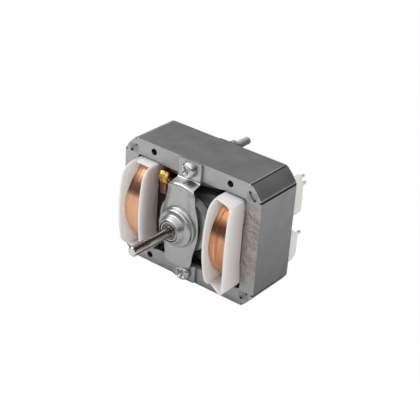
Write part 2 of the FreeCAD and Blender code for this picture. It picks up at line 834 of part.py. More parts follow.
def make_winding(label):
    """A right-hand winding: a racetrack whose end turns bulge out of the slots."""
    body = new_body(label)
    outer_face = bobbin_outer_face - flange_wall - winding_gap
    inner_face = flange_inner_face + flange_wall + winding_gap
    half = winding_height / 2
    bulge = winding_bulge
    radius = (half * half + bulge * bulge) / (bulge * 2)
    sketch = new_sketch(body, "YZ_Plane", inner_face)
    draw(sketch, [(nil, -half), (stack_depth, -half, radius),
                  (stack_depth, half), (nil, half, radius)])
    low_y, high_y, inner_half = tube_limits(tube_wall + winding_gap)
    draw(sketch, round_box_path(low_y, -inner_half, high_y, inner_half,
                                [tube_corner_radius] * 4))
    pad(body, sketch, outer_face - inner_face)
    return body


def make_slot_cover(label, level, inner_front, outer_front):
    """A liner that closes one slot of the right-hand winding; its front edge may run at a slope."""
    body = new_body(label)
    outer_face = bobbin_outer_face - flange_wall
    inner_face = flange_inner_face + flange_wall
    top = flange_height / 2 * level
    low = top - cover_wall * level
    rear = stack_depth + cover_overhang
    sketch = new_sketch(body, "YZ_Plane", inner_face)
    bead = cover_bead
    low_v, high_v = (low, top) if level > 0 else (top, low)
    draw(sketch, round_box_path(-outer_front, low_v, rear, high_v, [bead] * 4))
    pad(body, sketch, outer_face - inner_face)
    if outer_front.number > inner_front.number:
        slope = new_sketch(body, "XY_Plane", low_v - cover_wall)
        draw(slope, [(inner_face, -inner_front), (inner_face, -outer_front - bead),
                     (outer_face, -outer_front - bead)])
        pocket(body, slope, cover_wall * 3, reverse=True)
    return body


def make_bracket(label):
    """A stamped bracket: two tabs, stepped legs, a creased panel and a domed boss."""
    body = new_body(label)
    end = bracket_height / 2
    tab = tab_width / 2
    neck = neck_width / 2
    shoulder = shoulder_width / 2
    belly = belly_width / 2
    corner = tab_corner
    swell = belly - shoulder
    bow = (shoulder_height * shoulder_height + swell * swell) / (swell * 2)
    path = []
    for side in (1, -1):
        path += [
            ((-tab + corner) * side, -end * side), ((tab - corner) * side, -end * side),
            (tab * side, (-end + corner) * side), (tab * side, -foot_inner * side),
            (neck * side, -panel_end * side, -waist_radius),
            (shoulder * side, -shoulder_height * side, bow),
            (shoulder * side, shoulder_height * side, -waist_radius),
            (neck * side, panel_end * side), (tab * side, foot_inner * side),
            (tab * side, (end - corner) * side),
        ]
    sketch = new_sketch(body, "XZ_Plane")
    draw(sketch, path)
    pad(body, sketch, panel_front)

    # Room in front of the tabs, down to the sheet that lies on the stack.
    front = -(panel_front + sheet_wall)
    wide = belly_width
    for level in (-1, 1):
        step = new_sketch(body, "YZ_Plane", -wide / 2)
        draw(step, [
            (-sheet_wall, (end + sheet_wall) * level), (-sheet_wall, foot_inner * level),
            (-panel_front, panel_end * level), (front, panel_end * level),
            (front, (end + sheet_wall) * level),
        ])
        pocket(body, step, wide, reverse=True)

    # Room behind the panel, between the legs, up to the level of the sloped flanks.
    leg = sheet_wall
    under = panel_front - sheet_wall
    flank_under = under - crease_drop
    flank_end = foot_inner - leg - (foot_inner - panel_end) * flank_under / under
    beyond = sheet_wall
    step = new_sketch(body, "YZ_Plane", -wide / 2)
    draw(step, [
        (beyond, -foot_inner + leg), (beyond, foot_inner - leg), (nil, foot_inner - leg),
        (-flank_under, flank_end), (-flank_under, -flank_end), (nil, -foot_inner + leg),
    ])
    pocket(body, step, wide, reverse=True)

    # The panel is creased: flat in the middle, with flanks that slope back on both sides.
    crease = crease_width / 2
    inner_end = panel_end - leg
    hollow = new_sketch(body, "XY_Plane", -inner_end)
    draw(hollow, [(-belly, -flank_under), (-crease, -under), (crease, -under),
                  (belly, -flank_under)])
    pocket(body, hollow, inner_end * 2, reverse=True)
    for side in (-1, 1):
        flank = new_sketch(body, "XY_Plane", -end)
        draw(flank, [
            (crease * side, -panel_front), (belly * side, -panel_front + crease_drop),
            (belly * side, -panel_front - leg), (crease * side, -panel_front - leg),
        ])
        pocket(body, flank, bracket_height, reverse=True)

    # The boss steps forward in a short drum, then a shallow cone and the dome of the bush.
    profile = dome_profile()
    boss = new_sketch(body, "YZ_Plane")
    draw(boss, profile["outer"])
    revolve(body, boss)
    room = new_sketch(body, "YZ_Plane")
    draw(room, profile["inner"])
    groove(body, room)

    holes = new_sketch(body, "XZ_Plane", -beyond)
    for level in (-1, 1):
        draw_circle(holes, nil, screw_spacing * level / 2, screw_hole_radius)
    pocket(body, holes, panel_front, reverse=True)
    return body


def dome_profile():
    """The boss's outer and inner section as (y, radius), from the panel to the nose."""
    wall = sheet_wall
    base = panel_front - crease_drop
    drum = panel_front + boss_step
    cone = drum + dome_step
    nose = cone + nose_step
    # The inner cone runs parallel to the outer one and meets the nose hole at the lip.
    inner_cone = dome_radius - dome_inset
    lip = cone - wall + (inner_cone - nose_radius) * nose_step / (dome_radius - nose_radius)
    ledge = panel_front + drum_ledge
    outer = [
        (-base, nil), (-base, boss_radius), (-ledge, boss_radius), (-ledge, boss_top_radius),
        (-drum, boss_top_radius), (-cone, dome_radius), (-nose, nose_radius), (-nose, nil),
    ]
    inner = [
        (wall, nil), (wall, boss_radius - wall), (-drum + wall, boss_top_radius - wall),
        (-cone + wall, inner_cone), (-lip, nose_radius), (-nose - wall, nose_radius),
        (-nose - wall, nil),
    ]
    return {"outer": outer, "inner": inner, "lip": -lip, "drum": -drum + wall, "nose": -nose}


def make_bush(label):
    """A spherical sintered bush with flat ends."""
    body = new_body(label)
    middle = bush_middle()
    half = bush_half_length()
    sphere = bush_sphere_radius
    face = bush_face_radius
    bore = shaft_radius + bush_gap
    sketch = new_sketch(body, "YZ_Plane")
    draw(sketch, [
        (middle - half, bore), (middle + half, bore),
        (middle + half, face, sphere), (middle - half, face),
    ])
    revolve(body, sketch)
    return body


def bush_half_length():
    """Half of the bush's length: where its flat ends cut the sphere."""
    return root(bush_sphere_radius * bush_sphere_radius - bush_face_radius * bush_face_radius)


def bush_middle():
    """The bush's centre along the shaft: its sphere rests on the lip of the nose hole."""
    reach = bush_sphere_radius + seat_gap
    return dome_profile()["lip"] + root(reach * reach - nose_radius * nose_radius)


def make_retainer(label):
    """A dished spring disc whose fingers press the bush into its dome."""
    body = new_body(label)
    outer = boss_top_radius - sheet_wall + seat_gap
    inner = nose_radius + seat_gap
    sphere = bush_sphere_radius
    touch = bush_middle() + root(sphere * sphere - inner * inner) + seat_gap
    rim = touch - retainer_dish
    sketch = new_sketch(body, "YZ_Plane")
    draw(sketch, [
        (rim, outer), (rim, outer - retainer_rim), (touch, inner),
        (touch + retainer_wall, inner), (rim + retainer_wall, outer - retainer_rim),
        (rim + retainer_wall, outer),
    ])
    revolve(body, sketch)
    slot = new_sketch(body, "XZ_Plane", -(touch + retainer_wall))
    half = retainer_slot / 2
    draw(slot, box_path(-half, nil, half, outer - retainer_rim))
    cut = pocket(body, slot, retainer_dish + retainer_wall, reverse=True)
    ring_pattern(body, cut, finger_count)
    return body


def make_felt(label):
    """An oil felt that fills the drum of the boss round the bush."""
    body = new_body(label)
    front = dome_profile()["drum"] + felt_gap
    inner = bush_sphere_radius + felt_gap
    outer = boss_top_radius - sheet_wall - felt_gap
    sketch = new_sketch(body, "YZ_Plane")
    draw(sketch, box_path(front, inner, front + felt_length, outer))
    revolve(body, sketch)
    return body


def make_through_screws():
    """Two long pan-head screws that clamp both brackets on the stack."""
    body = new_body("through_screws")
    seat = -sheet_wall
    top = seat - head_height
    tip = stack_depth + stud_reach
    sketch = new_sketch(body, "YZ_Plane")
    sketch.setExpression("AttachmentOffset.Base.y", (screw_spacing / 2).text)
    draw(sketch, [
        (top, nil), (tip, nil), (tip, screw_radius - stud_point),
        (tip - stud_point, screw_radius), (seat, screw_radius), (seat, head_radius),
        (seat - head_edge, head_radius, head_bow_radius), (top, head_flat_radius),
    ])
    revolve(body, sketch)
    recess = new_sketch(body, "XZ_Plane", -top)
    long_half = recess_length / 2
    short_half = recess_width / 2
    for level in (-1, 1):
        middle = screw_spacing * level / 2
        draw(recess, [
            (-long_half, middle - short_half), (-short_half, middle - short_half),
            (-short_half, middle - long_half), (short_half, middle - long_half),
            (short_half, middle - short_half), (long_half, middle - short_half),
            (long_half, middle + short_half), (short_half, middle + short_half),
            (short_half, middle + long_half), (-short_half, middle + long_half),
            (-short_half, middle + short_half), (-long_half, middle + short_half),
        ])
    turned = body.Tip
    mirror(body, "XY_Plane", [turned])
    pocket(body, recess, recess_depth)
    return body


def fastener_ring(label, start, length, outline):
    """Two like pieces on the rear ends of the screws, with a bore for the thread."""
    body = new_body(label)
    sketch = new_sketch(body, "XZ_Plane", -start)
    bore = screw_radius + thread_gap
    for level in (-1, 1):
        middle = screw_spacing * level / 2
        outline(sketch, middle)
        draw_circle(sketch, nil, middle, bore)
    pad(body, sketch, length, reverse=True)
    return body


def make_lock_washers():
    """Plain washers between the rear bracket and the nuts."""
    def disc(sketch, middle):
        draw_circle(sketch, nil, middle, washer_radius)
    return fastener_ring("lock_washers", stack_depth + sheet_wall, washer_wall, disc)


def make_hex_nuts():
    """Hexagon nuts, with two flats facing up and down."""
    flat = nut_flats / 2
    corner = nut_flats / root(as_size(3.0))

    def hexagon(sketch, middle):
        draw(sketch, [
            (corner, middle), (corner / 2, middle + flat), (-corner / 2, middle + flat),
            (-corner, middle), (-corner / 2, middle - flat), (corner / 2, middle - flat),
        ])
    return fastener_ring("hex_nuts", stack_depth + sheet_wall + washer_wall, nut_height, hexagon)


def make_terminal_block():
    """The terminal block: a stepped block with a sloped top, on the right bobbin's flange."""
    body = new_body("terminal_block")
    inner = window_width / 2
    outer = lobe_reach
    front = stack_depth + slip_gap * 2
    rear = lobe_rear()
    sketch = new_sketch(body, "XZ_Plane", -front)
    draw(sketch, [
        (inner, block_low), (outer, block_low), (outer, block_high - block_slope),
        (inner + block_shelf, block_high), (inner, block_high),
    ])
    pad(body, sketch, rear - front, reverse=True)
    socket = new_sketch(body, "XZ_Plane", -rear)
    for u, v in block_pin_places():
        draw(socket, square_path(u, v, pin_side / 2))
    pocket(body, socket, pin_seat, reverse=True)
    return body


def make_terminal_pins(label, places):
    """Square pins that stand out behind their lobe or block."""
    body = new_body(label)
    sketch = new_sketch(body, "XZ_Plane", -(lobe_rear() - pin_seat))
    for u, v in places:
        draw(sketch, square_path(u, v, pin_side / 2 - pin_gap))
    pad(body, sketch, pin_seat + pin_reach, reverse=True)
    return body


def aim(feature, across):
    """Lean a pad or pocket so that it moves across by a set distance over the stack."""
    feature.UseCustomVector = True
    feature.Direction = vector(0, stack_depth.number, across.number)
    feature.setExpression("Direction.y", stack_depth.text)
    feature.setExpression("Direction.z", across.text)
    return feature


def make_rotor_core():
    """The laminated rotor: a drum with closed, skewed slots for the cage's bars."""
    body = new_body("rotor_core")
    sketch = new_sketch(body, "XZ_Plane")
    draw_circle(sketch, nil, nil, bore_radius - air_gap)
    draw_circle(sketch, nil, nil, shaft_radius + press_gap)
    pad(body, sketch, stack_depth, reverse=True)
    slot = new_sketch(body, "XZ_Plane")
    draw_circle(slot, bar_circle_radius, -bar_skew / 2, bar_radius)
    cut = aim(pocket(body, slot, stack_depth), bar_skew)
    ring_pattern(body, cut, bar_count)
    return body


def make_rotor_cage():
    """One aluminium casting: skewed bars between two tapered end rings."""
    body = new_body("rotor_cage")
    inner = end_ring_inner
    outer = end_ring_outer
    taper = end_ring_taper
    for start, finish in ((nil, -end_ring_length),
                          (stack_depth, stack_depth + end_ring_length)):
        sketch = new_sketch(body, "YZ_Plane")
        draw(sketch, [(start, inner), (start, outer), (finish, outer - taper),
                      (finish, inner + taper)])
        revolve(body, sketch)
    bar = new_sketch(body, "XZ_Plane")
    draw_circle(bar, bar_circle_radius, -bar_skew / 2, bar_radius - bar_gap)
    made = aim(pad(body, bar, stack_depth), bar_skew)
    ring_pattern(body, made, bar_count)
    return body


def make_shaft():
    """The through shaft: chamfered ends, and a relief where it leaves the front bush."""
    body = new_body("shaft")
    nose = dome_profile()["nose"]
    front = nose - drive_end_length
    rear = stack_depth - nose + rear_end_length
    cut = shaft_chamfer
    relief = nose - relief_lead
    relief_radius = shaft_radius - relief_depth
    sketch = new_sketch(body, "YZ_Plane")
    draw(sketch, [
        (front, nil), (rear, nil), (rear, shaft_radius - cut), (rear - cut, shaft_radius),
        (relief + relief_width, shaft_radius), (relief + relief_width, relief_radius),
        (relief, relief_radius), (relief, shaft_radius),
        (front + cut, shaft_radius), (front, shaft_radius - cut),
    ])
    revolve(body, sketch)
    return body


def sleeve_end():
    """Where the front sleeve ends: the bush's rear face less the washer and the end play."""
    return bush_middle() + bush_half_length() + end_play + thrust_wall


def make_thrust_sleeve(label):
    """A plastic spacer between the rotor and its thrust washer."""
    body = new_body(label)
    sketch = new_sketch(body, "YZ_Plane")
    draw(sketch, box_path(sleeve_end(), shaft_radius + bar_gap, nil, sleeve_radius))
    revolve(body, sketch)
    return body


def make_thrust_washer(label):
    """A thin washer that slides on the bush's inner face."""
    body = new_body(label)
    sketch = new_sketch(body, "YZ_Plane")
    draw(sketch, box_path(sleeve_end() - thrust_wall, shaft_radius + bar_gap,
                          sleeve_end(), thrust_radius))
    revolve(body, sketch)
    return body


def build_all():
    """Make every sub-part of the motor."""
    make_stator_yoke()
    make_pole_core()
    for label, turn in (("right", None), ("left", turn_to_left)):
        pieces = [
            make_shading_ring(f"shading_ring_{label}", label == "left"),
            make_bobbin(f"bobbin_{label}", label == "right"),
            make_winding(f"winding_{label}"),
        ]
        for piece in pieces:
            if turn:
                turn(piece)
    even, short, sloped = cover_overhang, short_cover_overhang, sloped_cover_overhang
    make_slot_cover("slot_cover_right_top", 1, even, even)
    make_slot_cover("slot_cover_right_bottom", -1, even, sloped)
    turn_to_left(make_slot_cover("slot_cover_left_top", -1, short, short))
    turn_to_left(make_slot_cover("slot_cover_left_bottom", 1, even, even))
    make_terminal_block()
    make_terminal_pins("terminal_pins_right", lobe_pin_places() + block_pin_places())
    turn_to_left(make_terminal_pins("terminal_pin_left", lobe_pin_places()))
    make_bracket("front_bracket")
    turn_to_rear(make_bracket("rear_bracket"))
    makers = {
        "bearing": make_bush, "retainer": make_retainer, "felt": make_felt,
        "thrust_sleeve": make_thrust_sleeve, "thrust_washer": make_thrust_washer,
    }
    for name, maker in makers.items():
        maker(f"{name}_front")
        turn_to_rear(maker(f"{name}_rear"))
    make_through_screws()
    make_lock_washers()
    make_hex_nuts()
    make_rotor_core()
    make_rotor_cage()
    make_shaft()


def check_and_write():
    """Refuse a failed feature or a bad solid, then write one file for each sub-part."""
    doc.recompute()
    for item in doc.Objects:
        if "Invalid" in item.State or "Error" in item.State:
            raise RuntimeError(f"{item.Label} failed: {item.State}")
    bodies = doc.findObjects("PartDesign::Body")
    for body in bodies:
        if body.Shape.isNull() or not body.Shape.isValid() or not body.Shape.Solids:
            raise RuntimeError(f"{body.Label} has no valid solid")
    os.makedirs("parts", exist_ok=True)
    for body in bodies:
        body.Shape.exportStep(f"parts/{body.Label}.step")
        print(body.Label, len(body.Shape.Solids), round(body.Shape.Volume, 1))


build_all()
check_and_write()
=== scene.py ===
import bmesh
import bpy
import math
from mathutils import Matrix, Vector, noise


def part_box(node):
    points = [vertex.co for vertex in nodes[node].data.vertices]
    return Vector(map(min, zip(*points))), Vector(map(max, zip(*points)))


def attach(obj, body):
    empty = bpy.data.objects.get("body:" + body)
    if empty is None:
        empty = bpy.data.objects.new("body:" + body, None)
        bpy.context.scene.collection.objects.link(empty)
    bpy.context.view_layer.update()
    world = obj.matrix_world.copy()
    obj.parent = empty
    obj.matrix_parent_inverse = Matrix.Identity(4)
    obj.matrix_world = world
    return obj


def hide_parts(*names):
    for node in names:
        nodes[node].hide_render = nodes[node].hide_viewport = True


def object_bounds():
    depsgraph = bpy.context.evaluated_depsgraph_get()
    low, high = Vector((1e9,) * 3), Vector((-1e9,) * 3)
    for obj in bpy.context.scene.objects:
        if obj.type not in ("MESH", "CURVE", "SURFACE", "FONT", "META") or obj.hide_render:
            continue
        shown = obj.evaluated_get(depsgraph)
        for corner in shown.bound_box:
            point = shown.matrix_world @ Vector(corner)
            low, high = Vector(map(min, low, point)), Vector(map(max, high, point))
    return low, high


# Range hood fan motor. Lengths in this script are in millimetres until a piece is finished.
# The origin is on the shaft axis, in the front face of the stack; the drive end points to -Y.

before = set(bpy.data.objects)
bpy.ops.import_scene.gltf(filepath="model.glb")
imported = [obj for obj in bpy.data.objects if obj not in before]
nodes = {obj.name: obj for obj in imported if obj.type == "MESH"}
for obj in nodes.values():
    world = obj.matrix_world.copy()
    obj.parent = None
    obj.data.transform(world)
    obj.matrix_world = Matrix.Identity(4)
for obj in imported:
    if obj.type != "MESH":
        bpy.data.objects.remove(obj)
cad_low, cad_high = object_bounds()

MM = 0.001
HALF_TURN = math.pi
FULL_TURN = 2 * math.pi


def clamp(share):
    """A share held between 0 and 1."""
    return max(0.0, min(1.0, share))


def node_limits(node):
    """The lowest and highest corner of a CAD node, in millimetres."""
    low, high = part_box(node)
    return low / MM, high / MM


STACK_DEPTH = node_limits("stator_yoke")[1].y
MID_Y = STACK_DEPTH / 2

# Camera, fitted to the edges of the stack in the photograph
CAMERA_AZIMUTH = math.radians(36.453)
CAMERA_ELEVATION = math.radians(28.887)
CAMERA_ROLL = math.radians(4.065)
CAMERA_DISTANCE = 549.479
CAMERA_ACROSS = 10.649
CAMERA_UP = 5.257
CAMERA_LENS = 96.142
SENSOR = 36.0


# Helpers for meshes

def loose_edges(bm):
    """The edges that no face uses yet."""
    return [edge for edge in bm.edges if not edge.link_faces]


def outline(bm, points, segments=6, closed=True):
    """A run of edges through points; a fourth number rounds that corner."""
    before = set(bm.edges)
    verts = [bm.verts.new(point[:3]) for point in points]
    pairs = list(zip(verts, verts[1:]))
    if closed:
        pairs.append((verts[-1], verts[0]))
    for pair in pairs:
        bm.edges.new(pair)
    for vert, point in zip(verts, points):
        if len(point) > 3 and point[3] > 0:
            bmesh.ops.bevel(bm, geom=[vert], offset=point[3], offset_type="OFFSET",
                            segments=segments, profile=0.5, affect="VERTICES", material=-1,
                            clamp_overlap=False)
    return [edge for edge in bm.edges if edge not in before]


def in_plane_x(x, points):
    """Points of an outline in a plane across X, from (y, z) or (y, z, radius)."""
    return [(x, *point) for point in points]


def in_plane_y(y, points):
    """Points of an outline in a plane across Y, from (x, z) or (x, z, radius)."""
    return [(point[0], y, *point[1:]) for point in points]


def in_plane_z(z, points):
    """Points of an outline in a plane across Z, from (x, y) or (x, y, radius)."""
    return [(*point[:2], z, *point[2:]) for point in points]


def only(kind, items):
    """The vertices or the edges among an operator's results."""
    return [item for item in items if isinstance(item, kind)]


def geometry_of(edges):
    """Edges with their vertices, as the operators want them."""
    return list(edges) + list({vert for edge in edges for vert in edge.verts})


def sweep(bm, edges, step, steps=1):
    """Sweep a run of edges along a vector in equal steps, and return its last run."""
    made = bmesh.ops.spin(bm, geom=geometry_of(edges), cent=(0, 0, 0), axis=(0, 0, 1),
                          dvec=Vector(step) / steps, angle=0.0, steps=steps, use_merge=False,
                          use_duplicate=False)
    return only(bmesh.types.BMEdge, made["geom_last"])


def block(bm, edges, step, hole=None):
    """A solid from an outline, or from an outline and a hole, swept along a vector."""
    before = set(bm.faces)
    if hole is None:
        bmesh.ops.edgeloop_fill(bm, edges=edges)
    else:
        bmesh.ops.bridge_loops(bm, edges=list(edges) + list(hole))
    faces = [face for face in bm.faces if face not in before]
    grown = bmesh.ops.extrude_face_region(bm, geom=faces)
    bmesh.ops.translate(bm, vec=step, verts=only(bmesh.types.BMVert, grown["geom"]))
    bmesh.ops.recalc_face_normals(bm, faces=bm.faces)


def lathe(bm, profile, centre=(0.0, 0.0, 0.0), steps=64, segments=4, closed=False):
    """Turn a profile of (y, radius) or (y, radius, rounding) points once round the Y axis."""
    middle = Vector(centre)
    run = outline(bm, [(middle.x + point[1], middle.y + point[0], middle.z, *point[2:])
                       for point in profile], segments, closed)
    bmesh.ops.spin(bm, geom=geometry_of(run), cent=middle, axis=(0, 1, 0), dvec=(0, 0, 0),
                   angle=FULL_TURN, steps=steps, use_merge=True, use_duplicate=False)
    bmesh.ops.remove_doubles(bm, verts=bm.verts, dist=1e-4)


def bevel_sharp(bm, radius, segments=3, angle=30.0, wanted=None):
    """Round the edges that meet at more than an angle."""
    bmesh.ops.recalc_face_normals(bm, faces=bm.faces)
    limit = math.radians(angle)
    edges = [edge for edge in bm.edges
             if len(edge.link_faces) == 2 and edge.calc_face_angle() > limit
             and (wanted is None or wanted(edge))]
    bmesh.ops.bevel(bm, geom=edges, offset=radius, offset_type="OFFSET", segments=segments,
                    profile=0.5, affect="EDGES", material=-1, clamp_overlap=True)


def add_shell(bm, shell):
    """Add a shell that was made by itself, and free it."""
    mesh = bpy.data.meshes.new("shell")
    bmesh.ops.recalc_face_normals(shell, faces=shell.faces)
    shell.to_mesh(mesh)
    shell.free()
    bm.from_mesh(mesh)
    bpy.data.meshes.remove(mesh)


def add_object(name, data):
    """An object in the scene that shows a mesh, a camera or a light."""
    thing = bpy.data.objects.new(name, data)
    bpy.context.scene.collection.objects.link(thing)
    return thing


def object_from(bm, name, material):
    """An object with one material, from a mesh that is freed."""
    mesh = bpy.data.meshes.new(name)
    bm.to_mesh(mesh)
    bm.free()
    mesh.materials.append(material)
    return add_object(name, mesh)


def finish_mesh(bm, name, material, body, replaces=(), smooth=35.0):
    """Turn a mesh in millimetres into a piece that rides on a body."""
    bmesh.ops.scale(bm, vec=(MM, MM, MM), verts=bm.verts)
    piece = object_from(bm, name, MATERIALS[material])
    mesh = piece.data
    mesh.shade_smooth()
    mesh.set_sharp_from_angle(angle=math.radians(smooth))
    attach(piece, body)
    if replaces:
        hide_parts(*replaces)


def rotate(bm, angle, axis):
    """Turn a mesh about an axis through the origin."""
    bmesh.ops.rotate(bm, cent=(0, 0, 0), matrix=Matrix.Rotation(angle, 3, axis), verts=bm.verts)


def flip_to_rear(bm):
    """Mirror a mesh from the front of the stack to its rear."""
    bmesh.ops.scale(bm, vec=(1, -1, 1), verts=bm.verts)
    bmesh.ops.translate(bm, vec=(0, STACK_DEPTH, 0), verts=bm.verts)
    bmesh.ops.reverse_faces(bm, faces=bm.faces)


def flip_to_left(bm):
    """Mirror a mesh from the right half of the motor to its left half."""
    bmesh.ops.scale(bm, vec=(-1, 1, 1), verts=bm.verts)
    bmesh.ops.reverse_faces(bm, faces=bm.faces)


# Shared effects, as shader node groups

def new_group(name, inputs, outputs):
    """A shader node group with named sockets."""
    group = bpy.data.node_groups.new(name, "ShaderNodeTree")
    for label, kind, value in inputs:
        socket = group.interface.new_socket(name=label, in_out="INPUT", socket_type=kind)
        socket.default_value = value
    for label, kind in outputs:
        group.interface.new_socket(name=label, in_out="OUTPUT", socket_type=kind)
    start = group.nodes.new("NodeGroupInput")
    end = group.nodes.new("NodeGroupOutput")
    return group, start, end


def add_node(tree, kind, **settings):
    """A node with its settings; a setting that is no property sets an input's value."""
    node = tree.nodes.new(kind)
    for name, value in settings.items():
        if hasattr(node, name):
            setattr(node, name, value)
        else:
            node.inputs[name.replace("_", " ")].default_value = value
    return node


def connect(tree, *links):
    """Link nodes; each link names a source, its output, a target and its input."""
    for source, output, target, socket in links:
        tree.links.new(source.outputs[output], target.inputs[socket])


def make_mottle_group():
    """Soft cloudy variation on Object coordinates, from 0 to 1."""
    group, start, end = new_group("mottle", [
        ("Scale", "NodeSocketFloat", 200.0), ("Stretch", "NodeSocketVector", (1, 1, 1)),
        ("Low", "NodeSocketFloat", 0.35), ("High", "NodeSocketFloat", 0.65),
    ], [("Value", "NodeSocketFloat")])
    place = add_node(group, "ShaderNodeTexCoord")
    mapping = add_node(group, "ShaderNodeMapping")
    cloud = add_node(group, "ShaderNodeTexNoise", Detail=5.0, Roughness=0.6)
    spread = add_node(group, "ShaderNodeMapRange")
    connect(group, (place, "Object", mapping, "Vector"), (start, "Stretch", mapping, "Scale"),
            (mapping, "Vector", cloud, "Vector"), (start, "Scale", cloud, "Scale"),
            (cloud, "Fac", spread, "Value"), (start, "Low", spread, "From Min"),
            (start, "High", spread, "From Max"), (spread, "Result", end, "Value"))
    return group


def make_scratch_group():
    """Fine straight scratches: stretched noise cut to thin lines, from 0 to 1."""
    group, start, end = new_group("scratches", [
        ("Scale", "NodeSocketFloat", 400.0), ("Stretch", "NodeSocketVector", (1, 0.03, 1)),
        ("Amount", "NodeSocketFloat", 0.6),
    ], [("Mask", "NodeSocketFloat")])
    place = add_node(group, "ShaderNodeTexCoord")
    mapping = add_node(group, "ShaderNodeMapping")
    streak = add_node(group, "ShaderNodeTexNoise", Detail=3.0, Roughness=0.7)
    cut = add_node(group, "ShaderNodeMapRange", From_Max=0.8)
    connect(group, (place, "Object", mapping, "Vector"), (start, "Stretch", mapping, "Scale"),
            (mapping, "Vector", streak, "Vector"), (start, "Scale", streak, "Scale"),
            (streak, "Fac", cut, "Value"), (start, "Amount", cut, "From Min"),
            (cut, "Result", end, "Mask"))
    return group


def make_layers_group():
    """The edges of stacked laminations, as dark lines across Y, from 0 to 1."""
    group, start, end = new_group("layers", [
        ("Pitch", "NodeSocketFloat", 0.0005), ("Thickness", "NodeSocketFloat", 0.2),
    ], [("Line", "NodeSocketFloat"), ("Shade", "NodeSocketFloat")])
    place = add_node(group, "ShaderNodeTexCoord")
    parts = add_node(group, "ShaderNodeSeparateXYZ")
    count = add_node(group, "ShaderNodeMath", operation="DIVIDE")
    inside = add_node(group, "ShaderNodeMath", operation="FRACT")
    thin = add_node(group, "ShaderNodeMath", operation="LESS_THAN")
    number = add_node(group, "ShaderNodeMath", operation="FLOOR")
    shade = add_node(group, "ShaderNodeTexWhiteNoise", noise_dimensions="1D")
    connect(group, (place, "Object", parts, "Vector"), (parts, "Y", count, 0),
            (start, "Pitch", count, 1), (count, "Value", inside, 0), (inside, "Value", thin, 0),
            (start, "Thickness", thin, 1), (count, "Value", number, 0),
            (number, "Value", shade, "W"), (thin, "Value", end, "Line"),
            (shade, "Value", end, "Shade"))
    return group


def make_crevice_shade_group():
    """Painted shade in corners and gaps, from ambient occlusion: 0 in the open, 1 in a crevice."""
    group, start, end = new_group("crevice_shade", [
        ("Reach", "NodeSocketFloat", 0.004), ("Strength", "NodeSocketFloat", 1.0),
    ], [("Mask", "NodeSocketFloat")])
    open_air = add_node(group, "ShaderNodeAmbientOcclusion", samples=6)
    closed = add_node(group, "ShaderNodeMath", operation="SUBTRACT")
    closed.inputs[0].default_value = 1.0
    scaled = add_node(group, "ShaderNodeMath", operation="MULTIPLY", use_clamp=True)
    connect(group, (start, "Reach", open_air, "Distance"), (open_air, "AO", closed, 1),
            (closed, "Value", scaled, 0), (start, "Strength", scaled, 1),
            (scaled, "Value", end, "Mask"))
    return group


GROUPS = {
    "mottle": make_mottle_group(),
    "scratches": make_scratch_group(),
    "layers": make_layers_group(),
    "crevice_shade": make_crevice_shade_group(),
}


